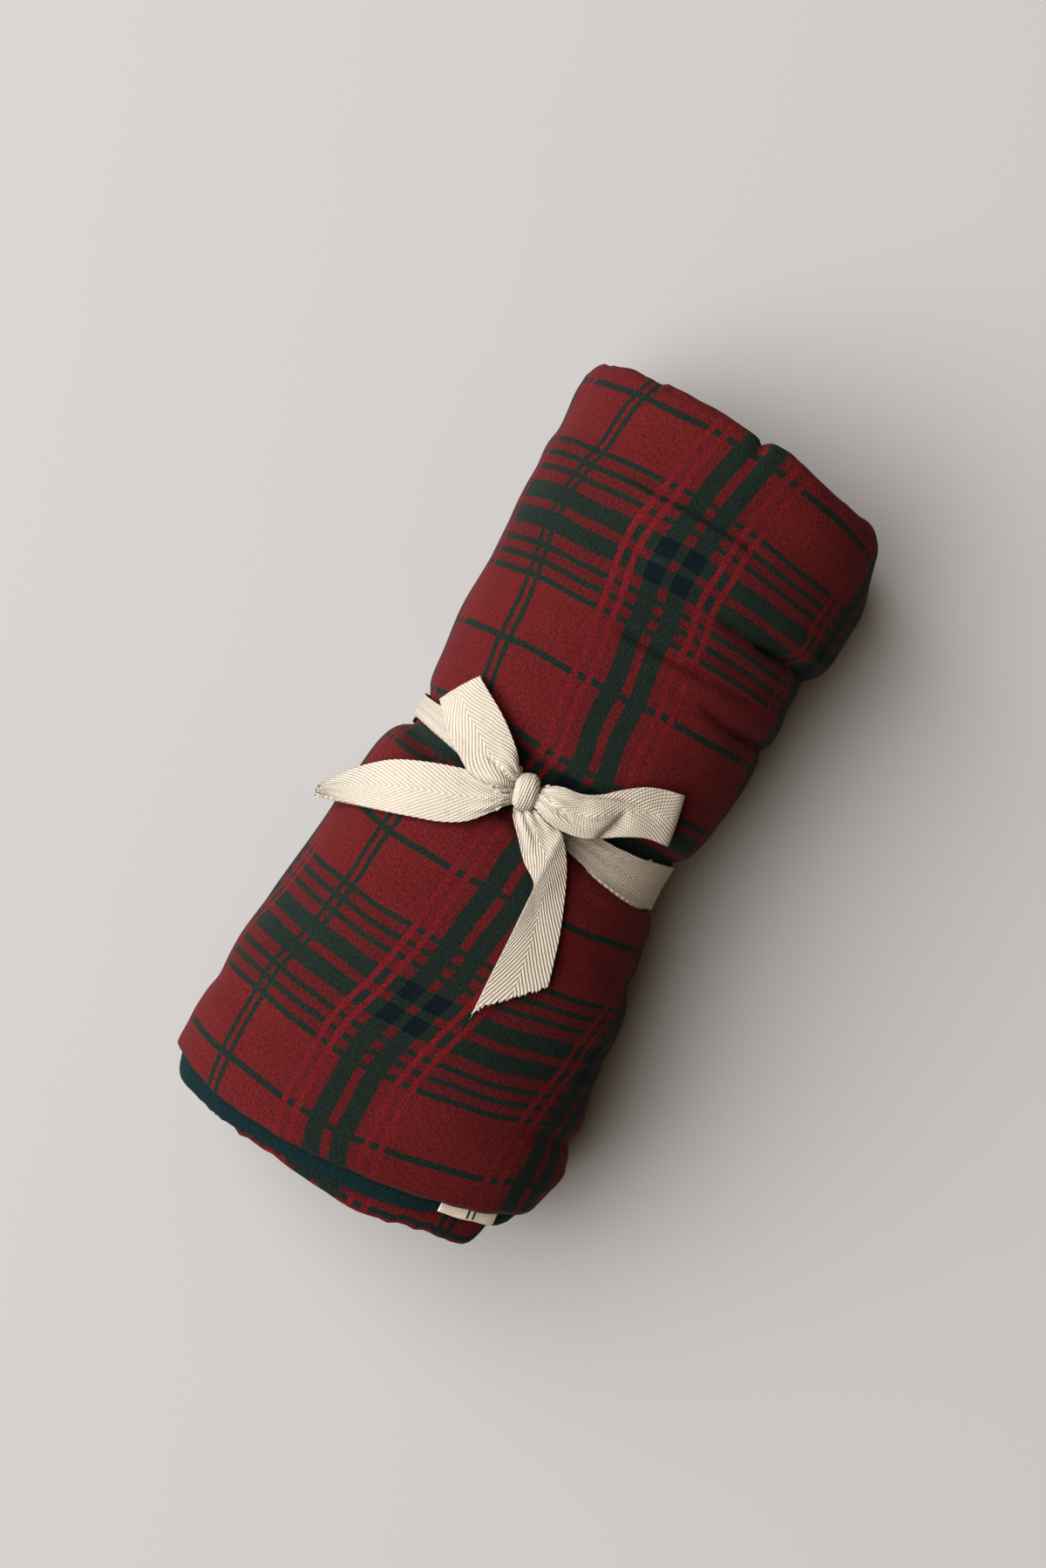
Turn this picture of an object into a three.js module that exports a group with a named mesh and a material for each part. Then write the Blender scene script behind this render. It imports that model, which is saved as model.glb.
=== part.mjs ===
import * as THREE from 'three';

// A folded muslin quilt, rolled up and tied round the middle with cotton tape.
// X runs across the roll, Y along it towards the folded end, Z up from the floor.
// The origin is on the floor under the middle of the whole.

const tapeWidth = 19;
const tapeThickness = 1.1;
const pieceGap = 0.45;
const turns = 5;
const turnShare = 1 / (turns + 0.6);
const looseEdgeAngle = -42 * Math.PI / 180;
const stepsRound = 48;
const roundness = 2.3;
const axisHeight = 46;
const floorSink = 6;
const coreHalfWidth = 17;
const coreHalfHeight = 1.5;
const bandMiddle = -1;
const bandSlant = -0.103;
const bandTuck = 7;
const openHem = -149.9;
const foldCrest = 151.4;
const coreSetback = 8;
const bandLeaves = 0.84;
const restReach = 24;
const gatherSwell = 1.4;
const knotMiddle = new THREE.Vector3(0.9, -1.2, 91.9);
const knotHalf = new THREE.Vector3(4.1, 7.2, 5.0);
const knotTurn = 8 * Math.PI / 180;
const labelFrom = 0.2075;
const labelTo = 0.2775;
const labelReach = 3.9;
const labelThickness = 0.8;
const middleX = 7.2;
const middleY = -5.2;

// Each section of the roll: its place along the length, its sides, its top and its underside
const sections = [
  { along: -148.6, left: -67.2, right: 80.6, top: 94.6, under: 0.0 },
  { along: -146.0, left: -67.8, right: 81.2, top: 95.6, under: 0.0 },
  { along: -140.0, left: -68.2, right: 81.8, top: 96.0, under: 0.0 },
  { along: -133.0, left: -68.5, right: 82.4, top: 96.4, under: 0.0 },
  { along: -125.0, left: -68.0, right: 82.9, top: 96.8, under: 0.0 },
  { along: -117.0, left: -66.9, right: 82.8, top: 97.0, under: 0.0 },
  { along: -111.5, left: -67.2, right: 81.4, top: 97.0, under: 0.0 },
  { along: -108.4, left: -67.3, right: 80.2, top: 97.0, under: 0.0 },
  { along: -102.5, left: -67.1, right: 81.1, top: 97.0, under: 0.0 },
  { along: -93.0, left: -66.1, right: 79.7, top: 97.0, under: 0.0 },
  { along: -86.0, left: -65.2, right: 77.8, top: 96.8, under: 0.0 },
  { along: -78.0, left: -64.4, right: 77.2, top: 96.6, under: 0.0 },
  { along: -69.0, left: -63.2, right: 76.4, top: 96.2, under: 0.0 },
  { along: -61.0, left: -62.3, right: 76.0, top: 95.9, under: 0.0 },
  { along: -54.0, left: -61.6, right: 75.0, top: 95.5, under: 0.0 },
  { along: -49.5, left: -61.1, right: 73.6, top: 95.2, under: 0.0 },
  { along: -46.0, left: -60.7, right: 71.7, top: 95.0, under: 0.0 },
  { along: -42.0, left: -60.3, right: 72.2, top: 94.7, under: 0.0 },
  { along: -36.0, left: -59.6, right: 70.6, top: 94.2, under: 0.1 },
  { along: -29.0, left: -58.8, right: 69.2, top: 93.4, under: 0.4 },
  { along: -22.5, left: -57.8, right: 68.2, top: 92.4, under: 0.9 },
  { along: -17.5, left: -56.2, right: 67.5, top: 91.2, under: 1.5 },
  { along: -14.0, left: -54.0, right: 66.8, top: 89.8, under: 2.1 },
  { along: -11.8, left: -51.6, right: 65.2, top: 87.4, under: 2.7 },
  { along: -10.1, left: -48.9, right: 62.6, top: 84.9, under: 3.2 },
  { along: -5.0, left: -48.6, right: 62.2, top: 84.5, under: 3.2 },
  { along: 0.0, left: -48.6, right: 62.1, top: 84.4, under: 3.2 },
  { along: 5.0, left: -48.6, right: 62.2, top: 84.5, under: 3.2 },
  { along: 10.1, left: -48.8, right: 62.6, top: 84.9, under: 3.2 },
  { along: 11.8, left: -49.9, right: 64.8, top: 87.4, under: 2.7 },
  { along: 14.0, left: -51.1, right: 66.8, top: 89.8, under: 2.1 },
  { along: 17.5, left: -51.9, right: 68.2, top: 91.4, under: 1.5 },
  { along: 22.5, left: -52.6, right: 69.4, top: 92.6, under: 0.9 },
  { along: 29.0, left: -53.4, right: 70.6, top: 93.6, under: 0.4 },
  { along: 37.0, left: -54.1, right: 71.8, top: 94.4, under: 0.1 },
  { along: 45.0, left: -54.4, right: 72.8, top: 94.9, under: 0.0 },
  { along: 53.0, left: -54.3, right: 72.4, top: 95.2, under: 0.0 },
  { along: 57.2, left: -54.2, right: 71.2, top: 95.3, under: 0.0 },
  { along: 61.5, left: -54.2, right: 73.1, top: 95.4, under: 0.0 },
  { along: 67.0, left: -54.2, right: 73.4, top: 95.4, under: 0.0 },
  { along: 75.0, left: -54.5, right: 72.2, top: 95.2, under: 0.0 },
  { along: 80.5, left: -54.8, right: 71.3, top: 95.0, under: 0.0 },
  { along: 84.8, left: -55.2, right: 71.1, top: 94.9, under: 0.0 },
  { along: 87.6, left: -55.6, right: 74.8, top: 95.0, under: 0.0 },
  { along: 92.0, left: -56.0, right: 77.0, top: 95.3, under: 0.0 },
  { along: 99.5, left: -56.2, right: 78.7, top: 95.5, under: 0.0 },
  { along: 108.0, left: -56.0, right: 79.0, top: 95.6, under: 0.0 },
  { along: 117.0, left: -56.6, right: 79.0, top: 95.5, under: 0.0 },
  { along: 125.0, left: -55.6, right: 78.6, top: 95.2, under: 0.0 },
  { along: 133.0, left: -56.2, right: 77.6, top: 94.8, under: 0.0 },
  { along: 140.5, left: -56.9, right: 75.8, top: 94.2, under: 0.0 },
  { along: 147.0, left: -56.6, right: 74.0, top: 93.0, under: 0.0 },
];

// Soft creases in the top of the outer cloth, each a trough along a line
const creases = [
  { fromX: -19, fromY: 115, toX: 21, toY: 115.5, depth: 1.2, width: 4.0 },
  { fromX: 34, fromY: 87, toX: 52, toY: 86, depth: 1.2, width: 3.6 },
  { fromX: 54, fromY: 86, toX: 78, toY: 84, depth: 3.2, width: 3.4 },
  { fromX: 9, fromY: 66, toX: 57, toY: 65, depth: 1.0, width: 4.2 },
  { fromX: 50, fromY: 55, toX: 76, toY: 57, depth: 2.0, width: 3.6 },
  { fromX: 56, fromY: -44, toX: 78, toY: -46, depth: 1.6, width: 3.4 },
  { fromX: 64, fromY: -107, toX: 86, toY: -108.4, depth: 1.0, width: 3.4 },
];

// The layers across one turn at each end: the share of the turn, which rim each follows at
// the open end and how far it lies back from that rim, and from the crest at the folded end
const endLayers = [
  { share: 0.0, rim: 'hem', open: 0.9, fold: 4.4 },
  { share: 0.21, rim: 'hem', open: 0.0, fold: 1.1 },
  { share: 0.29, rim: 'lining', open: 0.0, fold: 0.5 },
  { share: 0.54, rim: 'fold', open: 0.9, fold: 0.0 },
  { share: 0.8, rim: 'fold', open: 0.0, fold: 1.4 },
];

// The crest of the folded end, across the roll
const crestLine = [
  { across: -58, crest: 143.5 },
  { across: -53, crest: 147.2 },
  { across: -42, crest: 149.1 },
  { across: -30, crest: 150.3 },
  { across: -27, crest: 151.9 },
  { across: -19, crest: 152.3 },
  { across: -6, crest: 152.1 },
  { across: 7.5, crest: 151.2 },
  { across: 14, crest: 149.9 },
  { across: 19, crest: 151.5 },
  { across: 23, crest: 151.0 },
  { across: 30, crest: 149.3 },
  { across: 37.5, crest: 149.1 },
  { across: 47, crest: 146.7 },
  { across: 58.4, crest: 146.4 },
  { across: 64.8, crest: 144.9 },
  { across: 69.6, crest: 144.2 },
  { across: 73.3, crest: 142.4 },
  { across: 76.4, crest: 139.4 },
  { across: 80, crest: 134.0 },
];

// How far the lining's rim and the fold below it stand out beyond the hem, across the roll
const openRims = [
  { across: -68, lining: 0.5, fold: -3.0 },
  { across: -58.7, lining: 2.4, fold: 0.0 },
  { across: -50.3, lining: 4.6, fold: 2.6 },
  { across: -42, lining: 5.2, fold: 4.4 },
  { across: -35, lining: 5.8, fold: 6.4 },
  { across: -28, lining: 6.2, fold: 9.4 },
  { across: -9.5, lining: 6.5, fold: 12.0 },
  { across: 0, lining: 6.5, fold: 12.6 },
  { across: 9.5, lining: 6.8, fold: 14.2 },
  { across: 19, lining: 7.6, fold: 15.8 },
  { across: 33, lining: 6.4, fold: 15.6 },
  { across: 45.6, lining: 4.0, fold: 13.2 },
  { across: 53.5, lining: 3.6, fold: 14.4 },
  { across: 58, lining: 3.2, fold: 15.2 },
  { across: 61.5, lining: 2.8, fold: 14.6 },
  { across: 64.5, lining: 2.4, fold: 10.0 },
  { across: 67, lining: 2.2, fold: 5.0 },
  { across: 70, lining: 2.0, fold: 1.0 },
  { across: 82, lining: 0.6, fold: -2.0 },
];

// The tape on top of the roll: its middle and its width, narrower where it is gathered
const tapeGather = [
  { across: -52, middle: 10.2, width: 11.2 },
  { across: -42.7, middle: 9.4, width: 11.6 },
  { across: -38.7, middle: 8.4, width: 11.6 },
  { across: -31.2, middle: 6.2, width: 11.2 },
  { across: -27, middle: 4.6, width: 10.6 },
  { across: -21, middle: 1.4, width: 9.6 },
  { across: -12, middle: -1.5, width: 8.4 },
  { across: 4, middle: -3.5, width: 7.6 },
  { across: 10, middle: -5.4, width: 7.8 },
  { across: 23, middle: -7.6, width: 9.6 },
  { across: 30, middle: -8.3, width: 11.6 },
  { across: 40, middle: -9.3, width: 14.0 },
  { across: 48, middle: -9.5, width: 15.8 },
  { across: 57, middle: -8.8, width: 17.7 },
  { across: 63, middle: -7.6, width: 18.2 },
];

// How far each inner turn lies back from the outer one at each end
const turnSetbacks = [
  { open: 0.0, fold: 0.0 },
  { open: 3.4, fold: 1.6 },
  { open: 1.8, fold: 3.4 },
  { open: 4.6, fold: 2.4 },
  { open: 3.8, fold: 4.6 },
  { open: 5.6, fold: 4.0 },
];

function smoothStep(from, to, value) {
  const share = Math.min(1, Math.max(0, (value - from) / (to - from)));
  return share * share * (3 - 2 * share);
}

function rounded(value) {
  return Math.sign(value) * Math.pow(Math.abs(value), 2 / roundness);
}

// Mixes the two rows of a table on either side of a place
function rowAt(table, key, place, names) {
  const at = Math.min(table[table.length - 1][key], Math.max(table[0][key], place));
  let row = 1;
  while (row < table.length - 1 && table[row][key] < at) {
    row += 1;
  }
  const before = table[row - 1];
  const after = table[row];
  const share = (at - before[key]) / (after[key] - before[key]);
  const mixed = { [key]: at };
  for (const name of names) {
    mixed[name] = before[name] + (after[name] - before[name]) * share;
  }
  return mixed;
}

function sectionAt(along) {
  return rowAt(sections, 'along', along, ['left', 'right', 'top', 'under']);
}

function creaseDepth(x, y) {
  let depth = 0;
  for (const crease of creases) {
    const runX = crease.toX - crease.fromX;
    const runY = crease.toY - crease.fromY;
    const length = Math.hypot(runX, runY);
    const ahead = ((x - crease.fromX) * runX + (y - crease.fromY) * runY) / length;
    const aside = ((x - crease.fromX) * runY - (y - crease.fromY) * runX) / length;
    const inside = smoothStep(-8, 3, ahead) * smoothStep(-8, 3, length - ahead);
    depth += crease.depth * inside * Math.exp(-Math.pow(aside / crease.width, 2));
  }
  return depth;
}

// Where the turn's outer surface lies between the outline (0) and the core (1)
function depthShare(round, level) {
  return (level + round - 0.5) * turnShare;
}

// A half-width of the outline that puts the wound surface on the measured side
function outlineReach(reach, core, round) {
  const share = depthShare(round, 0);
  return (reach - core * share) / (1 - share);
}

// The point of the roll at a section, a share of the way round and a number of turns in
function rollPoint(section, round, level) {
  const angle = looseEdgeAngle + round * 2 * Math.PI;
  const across = Math.cos(angle);
  const rise = Math.sin(angle);
  const middle = (section.left + section.right) / 2;
  const half = (section.right - section.left) / 2;
  const side = across > 0 ? 42 / 360 : 222 / 360;
  const reach = outlineReach(half, coreHalfWidth, side);
  const crown = outlineReach(section.top - axisHeight, coreHalfHeight, 132 / 360);
  const depth = depthShare(round, level);
  const outX = middle + reach * rounded(across);
  const outZ = axisHeight + (rise > 0 ? crown : axisHeight + floorSink) * rounded(rise);
  const coreX = middle + coreHalfWidth * across;
  const coreZ = axisHeight + coreHalfHeight * rise;
  let x = outX + (coreX - outX) * depth;
  let z = outZ + (coreZ - outZ) * depth;
  const y = section.along + slantShift(section.along, x, angle);
  if (level === 0 && rise > -0.3) {
    const sink = creaseDepth(x, y) / Math.hypot(x - coreX, z - coreZ);
    x -= (x - coreX) * sink;
    z -= (z - coreZ) * sink;
  }
  z = Math.max(z, section.under);
  return new THREE.Vector3(x, y, z);
}

// The tape's slant across the roll, and the lobe that is tucked over it on the left
function slantShift(along, x, angle) {
  const slant = (bandMiddle + bandSlant * x) * Math.exp(-Math.pow(along / 45, 2));
  const leftness = Math.pow(Math.max(0, -Math.cos(angle)), 4);
  const below = along < 0 ? smoothStep(0, -10.1, along) * Math.exp(-Math.pow((along + 10.1) / 26, 2)) : 0;
  return slant + bandTuck * leftness * Math.min(1, below);
}

// The hem line at the open end and the fold line at the other, across the roll
function openLine(x) {
  const right = 0.115 * Math.max(0, x);
  const left = 2.7 * smoothStep(-38, -68, x);
  return openHem + right + left;
}

function foldLine(x) {
  return rowAt(crestLine, 'across', x, ['crest']).crest;
}

// How far a layer stands out beyond the hem; the inner turns stand out less
function openReach(layer, x, turn) {
  if (layer.rim === 'hem') {
    return -layer.open;
  }
  const reach = rowAt(openRims, 'across', x, [layer.rim])[layer.rim];
  return (reach - layer.open) * (1 - 0.35 * smoothStep(0.9, 1.6, turn));
}

// The roll: barrel, the loose edge's step and the wound layers of both ends
function makeRoll() {
  const points = [];
  const faces = [];
  const layers = endLayers.length;
  const rings = turns * layers;
  const lastRow = sections.length - 1;

  function addPoint(point) {
    points.push(point.x - middleX, point.y - middleY, point.z);
    return points.length / 3 - 1;
  }

  function addQuad(a, b, c, d) {
    faces.push(a, b, c, a, c, d);
  }

  function levelOf(ring) {
    return Math.floor(ring / layers) + endLayers[ring % layers].share;
  }

  function endPoint(row, ring, step) {
    const point = rollPoint(sections[row], step / stepsRound, levelOf(ring));
    const layer = endLayers[ring % layers];
    const turn = turnSetbacks[Math.floor(ring / layers)];
    const next = turnSetbacks[Math.min(turns, Math.floor(ring / layers) + 1)];
    const share = step / stepsRound;
    if (row === 0) {
      const setback = turn.open + (next.open - turn.open) * share;
      point.y = openLine(point.x) - openReach(layer, point.x, Math.floor(ring / layers) + share) + setback;
    } else {
      const setback = turn.fold + (next.fold - turn.fold) * share;
      point.y = foldLine(point.x) - layer.fold - setback;
    }
    return point;
  }

  // Columns run once round the outside, then up the loose edge's face
  const columns = stepsRound + layers;
  const barrel = [];
  for (let row = 0; row <= lastRow; row += 1) {
    const line = [];
    for (let column = 0; column < columns; column += 1) {
      const onFace = column >= stepsRound;
      const ring = onFace ? layers - (column - stepsRound) : 0;
      const step = onFace ? 0 : column;
      if (row === 0 || row === lastRow) {
        line.push(addPoint(endPoint(row, ring, step)));
      } else {
        const point = rollPoint(sections[row], step / stepsRound, levelOf(ring));
        const openPull = Math.pow(smoothStep(-100, -148.6, point.y), 2);
        const foldPull = Math.pow(smoothStep(100, 147, point.y), 2);
        point.y += openPull * (openLine(point.x) - openHem) + foldPull * (foldLine(point.x) - foldCrest);
        line.push(addPoint(point));
      }
    }
    barrel.push(line);
  }
  for (let row = 0; row < lastRow; row += 1) {
    for (let column = 0; column < columns; column += 1) {
      const next = (column + 1) % columns;
      addQuad(barrel[row][column], barrel[row + 1][column], barrel[row + 1][next], barrel[row][next]);
    }
  }

  // The ends follow the spiral inwards to the core
  for (const row of [0, lastRow]) {
    const grid = [];
    for (let ring = 0; ring <= rings; ring += 1) {
      const line = [];
      for (let step = 0; step < stepsRound; step += 1) {
        if (ring === 0) {
          line.push(barrel[row][step]);
        } else if (step === 0 && ring <= layers) {
          line.push(barrel[row][stepsRound + layers - ring]);
        } else {
          line.push(addPoint(endPoint(row, ring, step)));
        }
      }
      grid.push(line);
    }
    for (let ring = 0; ring < rings; ring += 1) {
      for (let step = 0; step < stepsRound; step += 1) {
        const wraps = step === stepsRound - 1;
        if (wraps && ring + layers >= rings) {
          continue;
        }
        const shift = wraps ? layers : 0;
        const next = wraps ? 0 : step + 1;
        const inner = grid[ring + shift + 1][next];
        if (row === 0) {
          addQuad(grid[ring][step], grid[ring + shift][next], inner, grid[ring + 1][step]);
        } else {
          addQuad(grid[ring][step], grid[ring + 1][step], inner, grid[ring + shift][next]);
        }
      }
    }
    const rim = [...grid[rings]];
    for (let ring = rings - 1; ring >= rings - layers; ring -= 1) {
      rim.push(grid[ring][stepsRound - 1]);
    }
    const section = sections[row];
    const heartY = row === 0 ? openHem + coreSetback : foldCrest - coreSetback;
    const heart = addPoint(new THREE.Vector3((section.left + section.right) / 2, heartY, axisHeight));
    for (let index = 0; index < rim.length; index += 1) {
      const next = (index + 1) % rim.length;
      if (row === 0) {
        faces.push(rim[index], rim[next], heart);
      } else {
        faces.push(rim[index], heart, rim[next]);
      }
    }
  }
  return geometryFrom(points, faces);
}

function geometryFrom(points, faces) {
  const geometry = new THREE.BufferGeometry();
  geometry.setAttribute('position', new THREE.Float32BufferAttribute(points, 3));
  geometry.setIndex(faces);
  geometry.computeVertexNormals();
  return geometry;
}

// The tape drawn round the waist, as a closed ring that bridges the loose edge's step
function makeBand() {
  const shares = [-0.49, -0.25, 0, 0.25, 0.49];
  const points = [];
  const faces = [];
  const rings = shares.map((share) => {
    const base = [];
    for (let step = 0; step < stepsRound; step += 1) {
      const round = step / stepsRound;
      const lift = Math.max(0, (round - bandLeaves) / (1 - bandLeaves));
      const waist = rollPoint(sectionAt(0), round, -lift);
      const onTop = smoothStep(26, 58, waist.z);
      const gathered = rowAt(tapeGather, 'across', waist.x, ['middle', 'width']);
      const middle = (gathered.middle - bandMiddle - bandSlant * waist.x) * onTop;
      const width = gathered.width * onTop + tapeWidth * (1 - onTop);
      base.push(rollPoint(sectionAt(middle + share * width), round, -lift));
    }
    return base;
  });

  function ringPoint(base, step, lift) {
    const before = base[(step + stepsRound - 1) % stepsRound];
    const after = base[(step + 1) % stepsRound];
    const runX = after.x - before.x;
    const runZ = after.z - before.z;
    const length = Math.hypot(runX, runZ);
    const point = base[step].clone();
    point.x += lift * runZ / length;
    point.z -= lift * runX / length;
    return point;
  }

  const inner = pieceGap + 0.2;
  const loop = [
    ...rings.map((base) => ({ base, lift: inner + tapeThickness })),
    ...rings.map((base) => ({ base, lift: inner })).reverse(),
  ];
  for (const { base, lift } of loop) {
    for (let step = 0; step < stepsRound; step += 1) {
      const point = ringPoint(base, step, lift);
      points.push(point.x - middleX, point.y - middleY, point.z);
    }
  }
  for (let line = 0; line < loop.length; line += 1) {
    const nextLine = (line + 1) % loop.length;
    for (let step = 0; step < stepsRound; step += 1) {
      const next = (step + 1) % stepsRound;
      const a = line * stepsRound + step;
      const b = line * stepsRound + next;
      const c = nextLine * stepsRound + next;
      const d = nextLine * stepsRound + step;
      faces.push(a, c, b, a, d, c);
    }
  }
  return geometryFrom(points, faces);
}

// The height on which the tape's arms rest: the roll's top without its waist groove
function restHeight(x, y) {
  const low = sectionAt(Math.min(y, -restReach));
  const high = sectionAt(Math.max(y, restReach));
  const share = Math.min(1, Math.max(0, (y + restReach) / (2 * restReach)));
  const left = low.left + (high.left - low.left) * share;
  const right = low.right + (high.right - low.right) * share;
  const top = low.top + (high.top - low.top) * share;
  const aside = Math.min(0.96, Math.abs(x - (left + right) / 2) / ((right - left) / 2));
  return axisHeight + (top - axisHeight) * Math.pow(1 - Math.pow(aside, roundness), 1 / roundness);
}

// A flat tape between its two edges, thicker where it is gathered into the knot
function makeArm(rows, gathered) {
  const lefts = rows.map((row) => new THREE.Vector3(row.leftX, row.leftY, restHeight(row.leftX, row.leftY) + row.leftUp));
  const rights = rows.map(
    (row) => new THREE.Vector3(row.rightX, row.rightY, restHeight(row.rightX, row.rightY) + row.rightUp),
  );
  const leftEdge = new THREE.CatmullRomCurve3(lefts, false, 'centripetal');
  const rightEdge = new THREE.CatmullRomCurve3(rights, false, 'centripetal');
  const stations = (rows.length - 1) * armSteps;
  const grid = [];
  for (let station = 0; station <= stations; station += 1) {
    const left = leftEdge.getPoint(station / stations);
    const right = rightEdge.getPoint(station / stations);
    const line = [];
    for (let place = 0; place <= armPlaces; place += 1) {
      line.push(left.clone().lerp(right, place / armPlaces));
    }
    grid.push(line);
  }
  const points = [];
  const faces = [];
  const across = armPlaces + 1;
  for (const side of [1, -1]) {
    for (let station = 0; station <= stations; station += 1) {
      const knotShare = gathered.reduce((most, place) => {
        return Math.max(most, 1 - Math.abs(station / armSteps - place) / 1.6);
      }, 0);
      const thickness = tapeThickness + gatherSwell * knotShare;
      for (let place = 0; place <= armPlaces; place += 1) {
        const ahead = grid[Math.min(stations, station + 1)][place];
        const behind = grid[Math.max(0, station - 1)][place];
        const run = ahead.clone().sub(behind);
        const width = grid[station][armPlaces].clone().sub(grid[station][0]);
        const normal = new THREE.Vector3().crossVectors(run, width).normalize();
        const crown = 1 - 0.35 * Math.pow(2 * place / armPlaces - 1, 2) * knotShare;
        const point = grid[station][place].clone().addScaledVector(normal, -side * thickness / 2 * crown);
        points.push(point.x - middleX, point.y - middleY, point.z);
      }
    }
  }
  const other = (stations + 1) * across;
  for (let station = 0; station < stations; station += 1) {
    for (let place = 0; place < armPlaces; place += 1) {
      const a = station * across + place;
      const b = a + across;
      faces.push(a, a + 1, b + 1, a, b + 1, b);
      faces.push(other + a, other + b + 1, other + a + 1, other + a, other + b, other + b + 1);
    }
    const left = station * across;
    const right = left + armPlaces;
    faces.push(left, left + across, other + left + across, left, other + left + across, other + left);
    faces.push(right, other + right + across, right + across, right, other + right, other + right + across);
  }
  for (let place = 0; place < armPlaces; place += 1) {
    const last = stations * across + place;
    faces.push(place, other + place + 1, place + 1, place, other + place, other + place + 1);
    faces.push(last, last + 1, other + last + 1, last, other + last + 1, other + last);
  }
  return geometryFrom(points, faces);
}

// The knot: a lump of wrapped tape, pinched a little along its middle
function makeKnot() {
  const points = [];
  const faces = [];
  const around = 24;
  const rows = 12;
  for (let row = 1; row < rows; row += 1) {
    const polar = Math.PI * row / rows;
    for (let step = 0; step < around; step += 1) {
      const angle = 2 * Math.PI * step / around;
      const ridge = 1 + 0.05 * Math.cos(4 * angle) - 0.06 * Math.cos(2 * polar);
      const x = knotHalf.x * rounded(Math.sin(polar)) * Math.cos(angle) * ridge;
      const y = -knotHalf.y * rounded(Math.cos(polar));
      const z = knotHalf.z * rounded(Math.sin(polar)) * Math.sin(angle) * ridge;
      points.push(x, y, z);
    }
  }
  points.push(0, -knotHalf.y, 0, 0, knotHalf.y, 0);
  const south = (rows - 1) * around;
  for (let step = 0; step < around; step += 1) {
    const next = (step + 1) % around;
    faces.push(south, step, next);
    for (let row = 0; row < rows - 2; row += 1) {
      const a = row * around + step;
      const b = row * around + next;
      faces.push(a, b + around, b, a, a + around, b + around);
    }
    const last = (rows - 2) * around;
    faces.push(south + 1, last + next, last + step);
  }
  const geometry = geometryFrom(points, faces);
  geometry.rotateZ(knotTurn);
  geometry.translate(knotMiddle.x - middleX, knotMiddle.y - middleY, knotMiddle.z);
  return geometry;
}

// The woven label on the second layer, just outside the hem at the open end
function makeLabel() {
  const points = [];
  const faces = [];
  const steps = 8;
  const corners = [
    { out: 0.4, lift: pieceGap },
    { out: 0.4, lift: pieceGap + labelThickness },
    { out: labelReach, lift: pieceGap + labelThickness },
    { out: labelReach, lift: pieceGap },
  ];
  for (let step = 0; step <= steps; step += 1) {
    const round = labelFrom + (labelTo - labelFrom) * step / steps;
    const wall = rollPoint(sections[0], round, endLayers[1].share);
    const outside = rollPoint(sections[0], round, 0);
    const outward = outside.clone().sub(wall).setY(0).normalize();
    for (const { out, lift } of corners) {
      const point = wall.clone().addScaledVector(outward, lift);
      point.y = openLine(wall.x) - out;
      points.push(point.x - middleX, point.y - middleY, point.z);
    }
  }
  for (let step = 0; step < steps; step += 1) {
    for (let corner = 0; corner < 4; corner += 1) {
      const a = step * 4 + corner;
      const b = step * 4 + (corner + 1) % 4;
      faces.push(a, b + 4, b, a, a + 4, b + 4);
    }
  }
  const last = steps * 4;
  faces.push(0, 1, 2, 0, 2, 3, last, last + 2, last + 1, last, last + 3, last + 2);
  return geometryFrom(points, faces);
}

// Edges of each arm from the knot outwards, with the height above the roll
const leftLoop = [
  { leftX: -3.9, leftY: -1.6, leftUp: 2.2, rightX: -3.9, rightY: 4.0, rightUp: 2.2 },
  { leftX: -11.0, leftY: -3.7, leftUp: 3.8, rightX: -7.6, rightY: 8.8, rightUp: 3.4 },
  { leftX: -20.0, leftY: -4.2, leftUp: 4.0, rightX: -14.0, rightY: 14.4, rightUp: 3.2 },
  { leftX: -27.8, leftY: -0.6, leftUp: 4.2, rightX: -20.5, rightY: 19.2, rightUp: 3.4 },
  { leftX: -34.2, leftY: 4.0, leftUp: 4.4, rightX: -27.6, rightY: 23.4, rightUp: 3.8 },
  { leftX: -41.6, leftY: 12.0, leftUp: 4.8, rightX: -32.8, rightY: 26.4, rightUp: 4.0 },
  { leftX: -42.6, leftY: 13.2, leftUp: 3.4, rightX: -33.6, rightY: 27.4, rightUp: 2.8 },
  { leftX: -41.2, leftY: 12.6, leftUp: 2.0, rightX: -32.6, rightY: 26.2, rightUp: 1.5 },
  { leftX: -33.4, leftY: 6.4, leftUp: 1.8, rightX: -26.6, rightY: 22.0, rightUp: 1.4 },
  { leftX: -26.6, leftY: 2.4, leftUp: 1.7, rightX: -19.6, rightY: 17.4, rightUp: 1.4 },
  { leftX: -18.6, leftY: -0.6, leftUp: 1.6, rightX: -13.2, rightY: 12.4, rightUp: 1.2 },
  { leftX: -11.0, leftY: -0.8, leftUp: 1.2, rightX: -8.6, rightY: 7.2, rightUp: 1.0 },
  { leftX: -4.6, leftY: -0.2, leftUp: -0.4, rightX: -4.6, rightY: 3.4, rightUp: -0.4 },
];
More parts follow.
